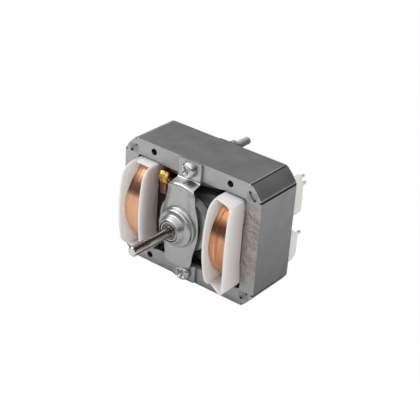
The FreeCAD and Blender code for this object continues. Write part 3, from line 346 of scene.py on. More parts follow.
class Finish:
    """One material: a Principled shader whose colour, roughness and bump are built in layers."""

    def __init__(self, name, colour, **constants):
        self.material = bpy.data.materials.new(name)
        self.material.use_nodes = True
        self.tree = self.material.node_tree
        self.shader = self.tree.nodes["Principled BSDF"]
        for label, value in constants.items():
            self.shader.inputs[label.replace("_", " ")].default_value = value
        self.shader.inputs["Base Color"].default_value = (*colour, 1.0)
        self.colour = None
        self.height = None

    def effect(self, group, **values):
        """Place a shared effect, and return its first output or the one asked for."""
        node = self.tree.nodes.new("ShaderNodeGroup")
        node.node_tree = GROUPS[group]
        pick = values.pop("pick", None)
        for label, value in values.items():
            node.inputs[label].default_value = value
        return node.outputs[pick] if pick else node.outputs[0]

    def math(self, operation, *values):
        """Work on masks and numbers with a math node."""
        node = add_node(self.tree, "ShaderNodeMath", operation=operation)
        for slot, value in enumerate(values):
            if isinstance(value, (int, float)):
                node.inputs[slot].default_value = value
            else:
                self.tree.links.new(value, node.inputs[slot])
        return node.outputs["Value"]

    def both(self, first, *masks):
        """What lies in all of several masks."""
        for mask in masks:
            first = self.math("MULTIPLY", first, mask)
        return first

    def spread(self, value, **limits):
        """A value mapped from one range to another."""
        node = add_node(self.tree, "ShaderNodeMapRange", **limits)
        self.tree.links.new(value, node.inputs["Value"])
        return node.outputs["Result"]

    def measure(self, output, axis):
        """One part of the object's coordinates or of its normals."""
        place = add_node(self.tree, "ShaderNodeTexCoord")
        parts = add_node(self.tree, "ShaderNodeSeparateXYZ")
        connect(self.tree, (place, output, parts, "Vector"))
        return parts.outputs[axis]

    def tint(self, mask, colour, strength=None):
        """Lay another colour over what is there, through a mask."""
        mix = add_node(self.tree, "ShaderNodeMix", data_type="RGBA")
        share = mask if strength is None else self.math("MULTIPLY", mask, strength)
        self.tree.links.new(share, mix.inputs["Factor"])
        if self.colour is None:
            mix.inputs[6].default_value = self.shader.inputs["Base Color"].default_value
        else:
            self.tree.links.new(self.colour, mix.inputs[6])
        mix.inputs[7].default_value = (*colour, 1.0)
        self.colour = mix.outputs[2]
        self.tree.links.new(self.colour, self.shader.inputs["Base Color"])

    def vary(self, socket, mask, low, high):
        """Let a mask drive a socket of the shader between two values."""
        self.tree.links.new(self.spread(mask, To_Min=low, To_Max=high),
                            self.shader.inputs[socket])

    def bump(self, mask, depth, strength=1.0, inward=False):
        """Raise or sink the surface by a mask; the depth is in metres."""
        node = add_node(self.tree, "ShaderNodeBump", invert=inward, Strength=strength,
                        Distance=depth)
        self.tree.links.new(mask, node.inputs["Height"])
        if self.height is not None:
            self.tree.links.new(self.height, node.inputs["Normal"])
        self.height = node.outputs["Normal"]
        self.tree.links.new(self.height, self.shader.inputs["Normal"])

    def facing(self, axis, low, high):
        """A mask of the surfaces that face along an axis of the object, either way."""
        return self.spread(self.math("ABSOLUTE", self.measure("Normal", axis)),
                           From_Min=low, From_Max=high)

    def beside(self, axis, place, reach, full=None):
        """A mask of what lies within reach of a place along an axis, on either side."""
        size = self.math("ABSOLUTE", self.measure("Object", axis))
        gap = self.math("ABSOLUTE", self.math("SUBTRACT", size, place))
        return self.spread(gap, From_Min=reach, From_Max=reach * 0.6 if full is None else full)

    def along(self, axis, low, high):
        """A mask that runs from 0 to 1 between two places along an axis of the object."""
        return self.spread(self.measure("Object", axis), From_Min=low, From_Max=high)


# Materials. Their lengths are in metres, as Object coordinates are.

WINDOW_HALF_WIDTH = 0.0331
WINDOW_HALF_HEIGHT = 0.0242
CLEAT_ACROSS = 0.0365
CLEAT_UP = 0.0273
GROOVE_DEPTH = 0.0016
LIP_HIGHLIGHT_REACH = 0.00045
# Each groove beside a cut corner is painted as a dark line of shade with a painted highlight on
# its lip. Its columns: the axis it sinks along and its place there, the other axis and its place
# there, the shift to its bright lip, its half width, and how dark it is
GROOVES = (("X", 0.0420, "Z", 0.0254, 0.0009, 0.00055, 0.97),
           ("Z", 0.0333, "X", 0.0354, -0.0007, 0.0005, 0.6))


def make_stack_steel():
    """Stamped sheets: a pale satin face, and darker edges with the line of each sheet."""
    finish = Finish("stack_steel", (0.315, 0.315, 0.325), Metallic=0.85, Roughness=0.38)
    face = finish.facing("Y", 0.80, 0.95)
    edge = finish.math("SUBTRACT", 1.0, face)
    line = finish.both(finish.effect("layers", Thickness=0.22), edge)
    shade = finish.both(finish.effect("layers", pick="Shade"), edge)
    cloud = finish.effect("mottle", Scale=55.0, Low=0.3, High=0.7)
    rub = finish.effect("scratches", Scale=900.0, Stretch=(0.05, 1.0, 1.0), Amount=0.58)
    finish.tint(face, (0.52, 0.52, 0.52))
    finish.tint(cloud, (0.40, 0.40, 0.41), 0.2)
    finish.tint(shade, (0.26, 0.26, 0.265), 0.18)
    finish.tint(line, (0.20, 0.20, 0.205), 0.12)
    # Painted shade: the stack's sides grow darker towards the bottom.
    low_side_shade = finish.both(finish.facing("X", 0.8, 0.95), finish.along("Z", 0.022, -0.024))
    finish.tint(low_side_shade, (0.12, 0.12, 0.12), 0.45)
    # Painted reflection: a warm cloudy tint on the front face's right leg, with lighter creases
    # there that are also bumped.
    right_leg = finish.both(face, finish.along("X", 0.0325, 0.036),
                            finish.along("Z", 0.026, 0.016), finish.along("Z", -0.026, -0.010))
    finish.tint(right_leg, (0.47, 0.405, 0.38), 0.8)
    crease_and_reflection = finish.effect("mottle", Scale=170.0, Stretch=(0.8, 1.0, 1.2), Low=0.4, High=0.6)
    crease_and_reflection = finish.both(crease_and_reflection, right_leg)
    finish.tint(crease_and_reflection, (0.62, 0.57, 0.54), 0.45)
    finish.tint(rub, (0.62, 0.62, 0.62), 0.15)
    cleat = finish.both(finish.beside("X", CLEAT_ACROSS, 0.0034, 0.0026),
                        finish.beside("Z", CLEAT_UP, 0.0026, 0.0018), face)
    finish.tint(cleat, (0.20, 0.20, 0.20), 0.45)
    # Painted shade in corners and gaps.
    finish.tint(finish.effect("crevice_shade", Reach=0.004, Strength=0.9), (0.05, 0.05, 0.05), 0.8)
    # Painted shade: everything inside the window is darkened, in a cloudy way, and warmer and
    # darker towards its left.
    window_shade = finish.both(finish.beside("X", 0.0, WINDOW_HALF_WIDTH, WINDOW_HALF_WIDTH - 0.0001),
                         finish.beside("Z", 0.0, WINDOW_HALF_HEIGHT, WINDOW_HALF_HEIGHT - 0.0001))
    window_shade_mottle = finish.both(window_shade, finish.effect("mottle", Scale=160.0))
    finish.tint(window_shade, (0.17, 0.165, 0.165), 0.97)
    finish.tint(window_shade_mottle, (0.09, 0.085, 0.085), 0.6)
    finish.tint(finish.both(window_shade, finish.along("X", -0.006, -0.014)), (0.055, 0.03, 0.028), 0.9)
    # Painted shade in each groove and a painted highlight on its lip.
    for axis, place, other, level, highlight_shift, reach, depth in GROOVES:
        near = finish.beside(axis, place, GROOVE_DEPTH)
        lip_highlight = finish.both(near, finish.beside(other, level + highlight_shift, LIP_HIGHLIGHT_REACH))
        finish.tint(lip_highlight, (0.80, 0.80, 0.80), 0.55)
        groove = finish.both(near, finish.beside(other, level, reach))
        finish.tint(groove, (0.008, 0.008, 0.008), depth)
    finish.vary("Roughness", finish.effect("mottle", Scale=140.0, Low=0.3, High=0.7), 0.36, 0.52)
    finish.bump(line, 0.00002, inward=True)
    finish.bump(cloud, 0.00003, 0.5)
    finish.bump(crease_and_reflection, 0.0008)
    return finish.material


def make_zinc(name, colour, rough_low, rough_high, scratch=0.2, painted_shade=0.55):
    """Zinc-plated steel, with soft cloudy gloss, a few rubbed lines and painted shade in its
    corners.
    """
    finish = Finish(name, colour, Metallic=1.0, Roughness=0.3)
    cloud = finish.effect("mottle", Scale=45.0, Low=0.3, High=0.7)
    rub = finish.effect("scratches", Scale=700.0, Stretch=(1.0, 1.0, 0.05), Amount=0.6)
    finish.tint(cloud, tuple(part * 0.9 for part in colour), 0.5)
    finish.tint(rub, (0.95, 0.95, 0.95), scratch)
    # Painted shade in corners and gaps.
    finish.tint(finish.effect("crevice_shade", Reach=0.002, Strength=0.9), (0.12, 0.12, 0.12), painted_shade)
    finish.vary("Roughness", finish.effect("mottle", Scale=90.0), rough_low, rough_high)
    finish.bump(cloud, 0.00001, 0.3)
    return finish.material


def make_shaft_steel():
    """Ground and polished steel, with long dark and bright streaks painted in as reflections, and
    gloss that varies with the dark ones.
    """
    finish = Finish("shaft_steel", (0.42, 0.40, 0.38), Metallic=1.0, Roughness=0.16)
    streak = finish.effect("mottle", Scale=560.0, Stretch=(1.0, 0.012, 1.0), Low=0.47, High=0.52)
    bright_reflection = finish.effect("mottle", Scale=620.0, Stretch=(1.0, 0.02, 1.0), Low=0.53, High=0.57)
    turning = finish.effect("scratches", Scale=1500.0, Stretch=(0.02, 1.0, 0.02), Amount=0.5)
    # Painted reflections: dark and bright streaks that run along the shaft.
    finish.tint(streak, (0.035, 0.025, 0.02), 0.92)
    finish.tint(bright_reflection, (0.95, 0.94, 0.92), 0.75)
    finish.tint(finish.facing("Y", 0.8, 0.95), (0.80, 0.80, 0.80), 0.95)
    finish.vary("Roughness", streak, 0.12, 0.22)
    finish.bump(turning, 0.000004, 0.4)
    return finish.material


def make_copper_wire(name, colour, metal, dark_reflection_band, strands, coarse):
    """Enamelled copper: fine strands, and a dark band high up that is a painted reflection."""
    finish = Finish(name, colour, Metallic=metal, Roughness=0.3, Coat_Weight=0.25,
                    Coat_Roughness=0.15)
    strand = finish.effect("mottle", Scale=coarse, Stretch=(8.0, 0.3, 0.3), Low=0.4, High=0.6)
    fine = finish.effect("mottle", Scale=620.0, Stretch=(6.0, 0.2, 0.2), Low=0.4, High=0.6)
    low, high = dark_reflection_band
    level = finish.both(finish.along("Z", low - 0.0015, low + 0.0015),
                        finish.along("Z", high + 0.002, high - 0.002))
    dark = finish.both(level, finish.math("MULTIPLY_ADD", strand, 0.4, 0.5))
    finish.tint(strand, tuple(part * 0.42 for part in colour), strands)
    finish.tint(fine, tuple(part * 0.55 for part in colour), strands * 0.7)
    # Painted reflection: the dark band high up, darker again along the strands.
    finish.tint(level, (0.18, 0.065, 0.04), 0.8)
    finish.tint(dark, (0.10, 0.03, 0.015), 0.8)
    # Painted shade between the strands and in corners.
    finish.tint(finish.effect("crevice_shade", Reach=0.0012, Strength=1.0), (0.16, 0.05, 0.02), 0.6)
    finish.vary("Roughness", strand, 0.24, 0.36)
    return finish.material


def make_braze():
    """The yellow metal that closes a shading ring."""
    finish = Finish("braze", (0.80, 0.52, 0.15), Metallic=1.0, Roughness=0.3)
    cloud = finish.effect("mottle", Scale=500.0)
    finish.tint(cloud, (0.50, 0.26, 0.06), 0.6)
    finish.tint(finish.along("Z", 0.0195, 0.0168), (0.34, 0.15, 0.07), 0.6)
    finish.vary("Roughness", cloud, 0.22, 0.42)
    finish.bump(cloud, 0.00012, 0.6)
    return finish.material


def make_nylon(name, colour, shade):
    """Moulded plastic that lets a little light in, with painted shade on its flanges' sides and in
    its corners.
    """
    finish = Finish(name, colour, Roughness=0.42, IOR=1.5, Subsurface_Weight=0.25,
                    Subsurface_Scale=0.002, Specular_IOR_Level=0.45)
    finish.shader.inputs["Subsurface Radius"].default_value = (1.0, 0.85, 0.75)
    cloud = finish.effect("mottle", Scale=70.0, Low=0.3, High=0.7)
    fine = finish.effect("mottle", Scale=900.0, Low=0.3, High=0.7)
    finish.tint(cloud, shade, 0.5)
    # Painted shade: the right bobbin's outer face and the left bobbin's inner flange grow darker
    # and warmer towards the stack.
    side = finish.facing("X", 0.5, 0.9)
    outer = finish.both(side, finish.along("X", 0.0312, 0.0322),
                        finish.along("Y", -0.0135, -0.0005), finish.along("Y", 0.004, 0.002))
    finish.tint(outer, (0.64, 0.48, 0.43), 0.5)
    inner = finish.both(side, finish.along("X", -0.0213, -0.0206),
                        finish.along("X", 0.002, -0.002), finish.along("Y", -0.0128, -0.0065))
    finish.tint(inner, (0.44, 0.29, 0.235), 0.5)
    # Painted shade in corners and gaps.
    finish.tint(finish.effect("crevice_shade", Reach=0.003, Strength=0.9), (0.66, 0.63, 0.60), 0.15)
    finish.vary("Roughness", fine, 0.38, 0.5)
    finish.bump(fine, 0.00002, 0.35)
    return finish.material


def make_rotor_steel():
    """The rotor's turned surface: tight rings, dark grey."""
    finish = Finish("rotor_steel", (0.16, 0.16, 0.155), Metallic=0.9, Roughness=0.36)
    rings = finish.effect("scratches", Scale=1200.0, Stretch=(0.02, 1.0, 0.02), Amount=0.45)
    finish.tint(rings, (0.28, 0.28, 0.29), 0.5)
    finish.tint(finish.effect("layers"), (0.07, 0.07, 0.07), 0.3)
    finish.bump(rings, 0.00001, 0.5)
    return finish.material


def make_grainy(name, colour, shade, share, scale, contrast=(0.35, 0.65), rough=None, bump=None,
                crevice_shade=None, **constants):
    """A surface with one fine grain in its colour, its gloss and its height, and painted shade in
    its corners where asked.
    """
    finish = Finish(name, colour, **constants)
    grain = finish.effect("mottle", Scale=scale, Low=contrast[0], High=contrast[1])
    finish.tint(grain, shade, share)
    # Painted shade in corners and gaps.
    if crevice_shade:
        reach, strength, painted_shade, cover = crevice_shade
        finish.tint(finish.effect("crevice_shade", Reach=reach, Strength=strength), painted_shade, cover)
    if rough:
        finish.vary("Roughness", grain, *rough)
    if bump:
        finish.bump(grain, *bump)
    return finish.material


MATERIALS = {
    "stack": make_stack_steel(),
    # The zinc finishes darken their corners with painted shade, the bright zinc most.
    "zinc_sheet": make_zinc("zinc_sheet", (0.53, 0.53, 0.53), 0.24, 0.34),
    "fastener": make_zinc("bright_zinc", (0.66, 0.66, 0.67), 0.16, 0.28, 0.3, 0.85),
    "dull_fastener": make_zinc("dull_zinc", (0.50, 0.50, 0.51), 0.5, 0.62, 0.15),
    "spring": make_zinc("spring_steel", (0.45, 0.45, 0.46), 0.28, 0.42),
    "tinned": make_zinc("tinned_pin", (0.88, 0.88, 0.85), 0.42, 0.55),
    "shaft": make_shaft_steel(),
    # Each winding has its own copper, with its painted dark reflection band at its own height.
    "copper_left": make_copper_wire("copper_wire_left", (1.0, 0.54, 0.31), 0.5,
                                    (0.0082, 0.0152), 0.26, 260.0),
    "copper_right": make_copper_wire("copper_wire_right", (0.98, 0.46, 0.225), 0.65,
                                     (0.0062, 0.0124), 0.8, 150.0),
    # The copper bar and the cast aluminium get painted shade in their corners.
    "copper_bar": make_grainy("copper_bar", (0.42, 0.23, 0.15), (0.24, 0.12, 0.12), 0.7, 220.0,
                              rough=(0.3, 0.5), crevice_shade=(0.004, 0.8, (0.03, 0.02, 0.02), 0.8),
                              Metallic=0.9),
    "braze": make_braze(),
    "nylon": make_nylon("white_nylon", (0.95, 0.945, 0.93), (0.91, 0.905, 0.89)),
    "cream": make_nylon("cream_nylon", (0.93, 0.91, 0.84), (0.88, 0.85, 0.76)),
    "sintered": make_grainy("sintered_bush", (0.25, 0.25, 0.235), (0.16, 0.15, 0.14), 0.5, 1600.0,
                            (0.4, 0.6), (0.26, 0.45), (0.00001, 0.5), Metallic=0.9),
    "aluminium": make_grainy("cast_aluminium", (0.72, 0.72, 0.70), (0.42, 0.42, 0.40), 0.5, 450.0,
                             rough=(0.28, 0.4), bump=(0.00003, 0.4),
                             crevice_shade=(0.002, 0.8, (0.2, 0.2, 0.2), 0.3), Metallic=0.8),
    "rotor": make_rotor_steel(),
    "felt": make_grainy("oil_felt", (0.45, 0.36, 0.20), (0.30, 0.23, 0.12), 0.7, 1800.0,
                        bump=(0.0002, 0.8), Roughness=0.95, Sheen_Weight=0.3),
    "sleeve": make_grainy("sleeve_plastic", (0.70, 0.69, 0.65), (0.60, 0.59, 0.55), 0.5, 400.0,
                          rough=(0.39, 0.53), bump=(0.00002, 0.4)),
    "fibre": make_grainy("hard_fibre", (0.30, 0.15, 0.10), (0.22, 0.10, 0.07), 0.5, 900.0,
                         rough=(0.49, 0.63), bump=(0.00002, 0.4)),
}

# CAD nodes that stay as they are, by the material that they are given
KEPT_NODES = {
    "stack": ("stator_yoke", "pole_core"), "spring": ("retainer_front", "retainer_rear"),
    "felt": ("felt_front", "felt_rear"), "fastener": ("lock_washers",),
    "rotor": ("rotor_core",), "aluminium": ("rotor_cage",),
    "sleeve": ("thrust_sleeve_front", "thrust_sleeve_rear"),
    "fibre": ("thrust_washer_front", "thrust_washer_rear"),
    "tinned": ("terminal_pin_left", "terminal_pins_right"),
}


# Bobbins. Each flange is a plate with bowed ends round the pole, and its front leaf leans.

FLANGE_FRONT = -14.0
FLANGE_REAR = STACK_DEPTH + 14.0
FLANGE_TOP = 23.9
FLANGE_WALL = 1.8
INNER_FACE = 20.0
OUTER_FACE = 32.7
BOW_HEIGHT = 17.6
INNER_BOW = 2.0
OUTER_BOW = 1.4
INNER_LEAN = -1.1
OUTER_LEAN = 1.6
FULL_FOOT = 19.6
SQUARE_LEVEL = 21.7
SQUARE_CORNER = 0.8
LOBE_REACH = 38.0
LOBE_LOW = -23.4
LOBE_HIGH = -8.4
LOBE_CORNER = 5.0
TUBE_HALF = 11.15
TUBE_WALL = 1.2
TUBE_LAP = 0.2
SLIP = 0.15

# A flange's rim, from its widest line: steps across and inwards, towards the coil and away
COIL_SIDE = ((0.22, 0.05), (0.4, 0.22), (0.5, 0.5), (0.5, 4.0), (0.5, 7.5), (0.5, 10.5))
AWAY_SIDE = ((0.45, 0.1), (0.82, 0.42), (1.08, 1.0), (1.24, 1.9), (1.3, 3.2), (1.3, 5.5),
             (1.3, 8.0), (1.3, 10.5))
HOOD_TURN = 29.4
HOOD_START = 17.0
HOOD_FALL = 0.2


def tube_box(x, offset, rounding=0.0):
    """The pole's tube in a plane across X, grown by an offset."""
    low, high, half = -SLIP - offset, STACK_DEPTH + SLIP + offset, TUBE_HALF + offset
    return in_plane_x(x, [(low, half, rounding), (high, half, rounding),
                          (high, -half, rounding), (low, -half, rounding)])


def add_arc(bm, x, y, z, radius, start, finish, steps):
    """An arc across X about (y, z), turned from one vertex; its first and last vertex."""
    first = bm.verts.new((x, y + radius * math.cos(start), z + radius * math.sin(start)))
    made = bmesh.ops.spin(bm, geom=[first], cent=(x, y, z), axis=(1, 0, 0), dvec=(0, 0, 0),
                          angle=finish - start, steps=steps, use_merge=False,
                          use_duplicate=False)
    return first, only(bmesh.types.BMVert, made["geom_last"])[0]


def soft_corner(sweep_radius, level, height):
    """A corner between a flat edge and a bowed end: the bow's angle, the setback, the radius."""
    angle = math.asin(height / sweep_radius)
    turn = (level - height) / (1 - math.sin(angle))
    setback = sweep_radius * (1 - math.cos(angle)) + turn * math.cos(angle)
    return angle, setback, turn


def bowed_outline(bm, x, bow, foot_height, low_edge, square_corner):
    """A flange's outline across X: bowed ends, soft corners, and its own corner at the foot."""
    radius = (BOW_HEIGHT ** 2 + bow ** 2) / (2 * bow)
    quarter = HALF_TURN / 2
    tip, flat, turn = soft_corner(radius, FLANGE_TOP, BOW_HEIGHT)
    low_tip, low_flat, low_turn = soft_corner(radius, low_edge, BOW_HEIGHT)
    front, rear = FLANGE_FRONT, FLANGE_REAR
    arcs = [(front + flat, FLANGE_TOP - turn, turn, quarter, HALF_TURN - tip, 10)]
    if square_corner:
        edge = SQUARE_CORNER
        arcs += [(front + radius, 0, radius, HALF_TURN - tip, HALF_TURN, 12),
                 (front + edge, edge - low_edge, edge, HALF_TURN, 3 * quarter, 5)]
    else:
        foot, foot_flat, foot_turn = soft_corner(radius, low_edge, foot_height)
        arcs += [(front + radius, 0, radius, HALF_TURN - tip, HALF_TURN + foot, 20),
                 (front + foot_flat, foot_turn - low_edge, foot_turn, HALF_TURN + foot,
                  3 * quarter, 10)]
    arcs += [(rear - low_flat, low_turn - low_edge, low_turn, 3 * quarter,
              FULL_TURN - low_tip, 10),
             (rear - radius, 0, radius, -low_tip, tip, 20),
             (rear - flat, FLANGE_TOP - turn, turn, tip, quarter, 10)]
    ends = [add_arc(bm, x, *arc) for arc in arcs]
    for (_, last), (first, _) in zip(ends, ends[1:] + ends[:1]):
        bm.edges.new((last, first))
    bmesh.ops.remove_doubles(bm, verts=bm.verts, dist=1e-4)
    return loose_edges(bm)


def round_rim(bm, edges, steps, side):
    """Carry a flange's rim round from its widest line, and return the last loop."""
    halves = ((FLANGE_REAR - FLANGE_FRONT) / 2, FLANGE_TOP)
    middle = Matrix.Translation((0, -MID_Y, 0))
    before = (0.0, 0.0)
    for across, inward in steps:
        made = bmesh.ops.extrude_edge_only(bm, edges=edges)["geom"]
        verts = set(only(bmesh.types.BMVert, made))
        edges = [edge for edge in only(bmesh.types.BMEdge, made)
                 if edge.verts[0] in verts and edge.verts[1] in verts]
        shrink = [(half - inward) / (half - before[1]) for half in halves]
        bmesh.ops.translate(bm, vec=(side * (across - before[0]), 0, 0), verts=list(verts))
        bmesh.ops.scale(bm, vec=(1, *shrink), space=middle, verts=list(verts))
        before = (across, inward)
    return edges


def lean_at(y, lean):
    """How far a flange's leaf has leaned at a depth in front of the stack."""
    return lean * (max(-y, 0.0) / -FLANGE_FRONT) ** 2


def lean_between(bm, low, high):
    """Lean what lies between two places across X, as the flanges at its ends lean."""
    for vert in bm.verts:
        share = (vert.co.x - low) / (high - low)
        vert.co.x += (1 - share) * lean_at(vert.co.y, INNER_LEAN)
        vert.co.x += share * lean_at(vert.co.y, OUTER_LEAN)


def round_hood(bm):
    """Let the hood's top fall towards its outer side, so that it has a soft corner there."""
    for vert in bm.verts:
        over = max(vert.co.x - HOOD_TURN, 0.0)
        near = clamp((vert.co.z - HOOD_START) / (FLANGE_TOP - HOOD_START))
        vert.co.z -= HOOD_FALL * over * over * near


def add_flange(bm, face, away, lean, *shape):
    """One flange from its outer face: a plate with the tube's hole and a rounded rim."""
    shell = bmesh.new()
    widest = face - away * AWAY_SIDE[-1][0]
    rim = bowed_outline(shell, widest, *shape)
    coil_loop = round_rim(shell, rim, COIL_SIDE, -away)
    away_loop = round_rim(shell, rim, AWAY_SIDE, away)
    coil_hole = outline(shell, tube_box(widest - away * COIL_SIDE[-1][0], 0.0))
    away_hole = outline(shell, tube_box(face, 0.0))
    bmesh.ops.bridge_loops(shell, edges=coil_loop + coil_hole)
    bmesh.ops.bridge_loops(shell, edges=away_loop + away_hole)
    bmesh.ops.bridge_loops(shell, edges=coil_hole + away_hole)
    for vert in shell.verts:
        vert.co.x += lean_at(vert.co.y, lean)
    add_shell(bm, shell)


def make_bobbin(square_corner):
    """A bobbin as if on the right: two flanges, the tube and the lobe for a terminal."""
    bm = bmesh.new()
    foot = FULL_FOOT if square_corner else BOW_HEIGHT
    low_edge = SQUARE_LEVEL if square_corner else FLANGE_TOP
    add_flange(bm, INNER_FACE, -1, INNER_LEAN, INNER_BOW, foot, FLANGE_TOP, False)
    add_flange(bm, OUTER_FACE, 1, OUTER_LEAN, OUTER_BOW, BOW_HEIGHT, low_edge, square_corner)

    tube = bmesh.new()
    start = INNER_FACE + FLANGE_WALL - TUBE_LAP
    outside = outline(tube, tube_box(start, TUBE_WALL, 1.2))
    inside = outline(tube, tube_box(start, 0.0))
    block(tube, outside, (OUTER_FACE - FLANGE_WALL + TUBE_LAP - start, 0, 0), inside)
    add_shell(bm, tube)

    lobe = bmesh.new()
    start = OUTER_FACE - FLANGE_WALL / 2
    low = STACK_DEPTH + 2 * SLIP
    high = FLANGE_REAR - 0.8
    corners = ((low, LOBE_LOW), (high, LOBE_LOW, LOBE_CORNER), (high, LOBE_HIGH, 0.8),
               (low, LOBE_HIGH))
    side = outline(lobe, in_plane_x(start, corners), segments=8)
    block(lobe, side, (LOBE_REACH - start, 0, 0))
    bevel_sharp(lobe, 0.6, 3, 50.0)
    round_hood(bm)
    add_shell(bm, lobe)
    return bm


def make_bobbins():
    right = make_bobbin(True)
    finish_mesh(right, "bobbin_right_moulding", "nylon", "stator",
                ["bobbin_right"])
    left = make_bobbin(False)
    rotate(left, HALF_TURN, "Y")
    finish_mesh(left, "bobbin_left_moulding", "nylon", "stator",
                ["bobbin_left"])


# Slot covers. The roofs run flush with the flanges' tops, and close the bobbin above the copper.

COVER_START = INNER_FACE + AWAY_SIDE[-1][0]
COVER_END = OUTER_FACE - AWAY_SIDE[-1][0]
COVER_WALL = 1.2
COVER_UNDER = FLANGE_TOP - COVER_WALL
COVER_REAR = STACK_DEPTH + 7.0
# Sections across X: the rear edge of all roofs, and the front edge of each kind
REAR_EDGE = ((STACK_DEPTH - 0.6, COVER_UNDER), (COVER_REAR, COVER_UNDER, 0.4),
             (COVER_REAR, FLANGE_TOP, 0.6))
LONG_ROOF = ((-4.8, FLANGE_TOP, 2.0), (-7.0, 23.5, 0.7), (-6.8, 22.3, 0.4), (0.6, 22.5, 0.4))
SHORT_ROOF = ((-2.6, FLANGE_TOP, 1.6), (-4.5, 23.3, 0.7), (-4.3, 22.3, 0.3), (0.6, 22.5, 0.4))
PLAIN_FLOOR = ((-7.4, FLANGE_TOP, 0.8), (-7.4, 22.2, 0.6), (0.6, 22.6, 0.4))


def make_liner(front, drift):
    """A liner as if at the top: its section swept across X, its front edge drawn out by a drift."""
    bm = bmesh.new()
    edges = outline(bm, in_plane_x(COVER_START, front + REAR_EDGE), segments=8)
    last = sweep(bm, edges, (COVER_END - COVER_START, 0, 0), 10)
    bmesh.ops.edgeloop_fill(bm, edges=edges)
    bmesh.ops.edgeloop_fill(bm, edges=last)
    for vert in bm.verts:
        if vert.co.y < -1.0:
            share = (vert.co.x - COVER_START) / (COVER_END - COVER_START)
            vert.co.y -= drift * share
            vert.co.z -= 0.25 * drift * share
    lean_between(bm, COVER_START, COVER_END)
    return bm


def add_roof_corner(bm):
    """The concave corner where the right roof runs down into the outer flange."""
    corner = bmesh.new()
    right = COVER_END
    edges = outline(corner, in_plane_y(-3.0, [
        (right - 4.0, 22.8), (right, 22.8), (right, 18.2), (right - 0.6, 18.2),
        (right - 0.6, 22.2, 3.4), (right - 4.0, 22.2)]), segments=8)
    block(corner, edges, (0, -5.3, 0))
    for vert in corner.verts:
        if vert.co.y < -4.0:
            vert.co.y -= max(22.4 - vert.co.z, 0.0) * 0.75
        vert.co.x += lean_at(vert.co.y, OUTER_LEAN)
    bevel_sharp(corner, 0.25, 3, 60.0)
    add_shell(bm, corner)


def make_wide_floor():
    """The right bobbin's lower liner: its front edge slopes out to the square flange."""
    bm = bmesh.new()
    edges = outline(bm, in_plane_z(-FLANGE_TOP, [
        (COVER_START, -7.4), (COVER_END, -12.8), (COVER_END, COVER_REAR, 0.8),
        (COVER_START, COVER_REAR, 0.8)]))
    block(bm, edges, (0, 0, 1.5))
    bevel_sharp(bm, 0.45, 3, 50.0)
    return bm


def make_slot_covers():
    right_roof = make_liner(LONG_ROOF, 2.0)
    add_roof_corner(right_roof)
    round_hood(right_roof)
    left_roof = make_liner(SHORT_ROOF, 0.0)
    round_hood(left_roof)
    flip_to_left(left_roof)
    left_floor = make_liner(PLAIN_FLOOR, 0.0)
    rotate(left_floor, HALF_TURN, "Y")
    liners = {"right_top": right_roof, "right_bottom": make_wide_floor(),
              "left_top": left_roof, "left_bottom": left_floor}
    for place, bm in liners.items():
        node = f"slot_cover_{place}"
        finish_mesh(bm, node + "_liner", "nylon", "stator", [node], 50.0)


# Windings. Strands run round the pole; their rows show as ripples along X.

COIL_LOW = INNER_FACE + FLANGE_WALL + 0.1
COIL_HIGH = OUTER_FACE - FLANGE_WALL - 0.1
COIL_HALF = 21.0
COIL_BULGE = 11.0
COIL_TURNS = 96
COIL_ARC_STEPS = 56


def coil_outline(bm, x):
    """A racetrack across X: two shallow arcs, turned from one vertex, and two straights."""
    radius = (COIL_HALF ** 2 + COIL_BULGE ** 2) / (2 * COIL_BULGE)
    reach = math.asin(COIL_HALF / radius)
    runs = [add_arc(bm, x, radius - COIL_BULGE, 0, radius, HALF_TURN - reach, HALF_TURN + reach,
                    COIL_ARC_STEPS),
            add_arc(bm, x, STACK_DEPTH + COIL_BULGE - radius, 0, radius, -reach, reach,
                    COIL_ARC_STEPS)]
    joins = [bm.edges.new((runs[0][1], runs[1][0])), bm.edges.new((runs[1][1], runs[0][0]))]
    bmesh.ops.subdivide_edges(bm, edges=joins, cuts=6)
    return loose_edges(bm)


def make_winding(name, left, pitch, groove, wander, bulge, seed):
    """One winding: the swept racetrack, rippled by its strands, closed round the tube."""
    bm = bmesh.new()
    first = coil_outline(bm, COIL_LOW)
    last = sweep(bm, first, (COIL_HIGH - COIL_LOW, 0, 0), COIL_TURNS)
    bmesh.ops.recalc_face_normals(bm, faces=bm.faces)
    bm.normal_update()
    middle = Vector((0, MID_Y, 0))
    for vert in bm.verts:
        x, y, z = vert.co
        outward = Vector((0, vert.normal.y, vert.normal.z)).normalized()
        if outward.dot(vert.co - middle) < 0:
            outward.negate()
        along = math.atan2(z, y - MID_Y)
        drift = noise.noise(Vector((x * 0.35, along * 2.2, seed)))
        row = (x - COIL_LOW) / pitch + drift * wander
        ridge = abs(math.sin(row * HALF_TURN))
        layer = noise.noise(Vector((math.floor(row) * 3.7, along * 1.6, seed + 5.0)))
        swell = noise.noise(Vector((x * 0.9 + drift, along * 0.8, seed + 11.0)))
        depth = groove * (ridge - 1.0) + groove * 0.9 * (layer - 0.5) + bulge * (swell - 0.5)
        vert.co += outward * depth
    inner_first = outline(bm, tube_box(COIL_LOW, TUBE_WALL + 0.1, 1.2))
    inner_last = sweep(bm, inner_first, (COIL_HIGH - COIL_LOW, 0, 0))
    bmesh.ops.bridge_loops(bm, edges=list(first) + list(inner_first))
    bmesh.ops.bridge_loops(bm, edges=list(last) + list(inner_last))
    lean_between(bm, COIL_LOW, COIL_HIGH)
    bmesh.ops.recalc_face_normals(bm, faces=bm.faces)
    if left:
        flip_to_left(bm)
    word = "left" if left else "right"
    finish_mesh(bm, name, f"copper_{word}", "stator", [f"winding_{word}"], 60.0)


# Brackets. A strip of sheet swept across X takes its width and its creases from its height.

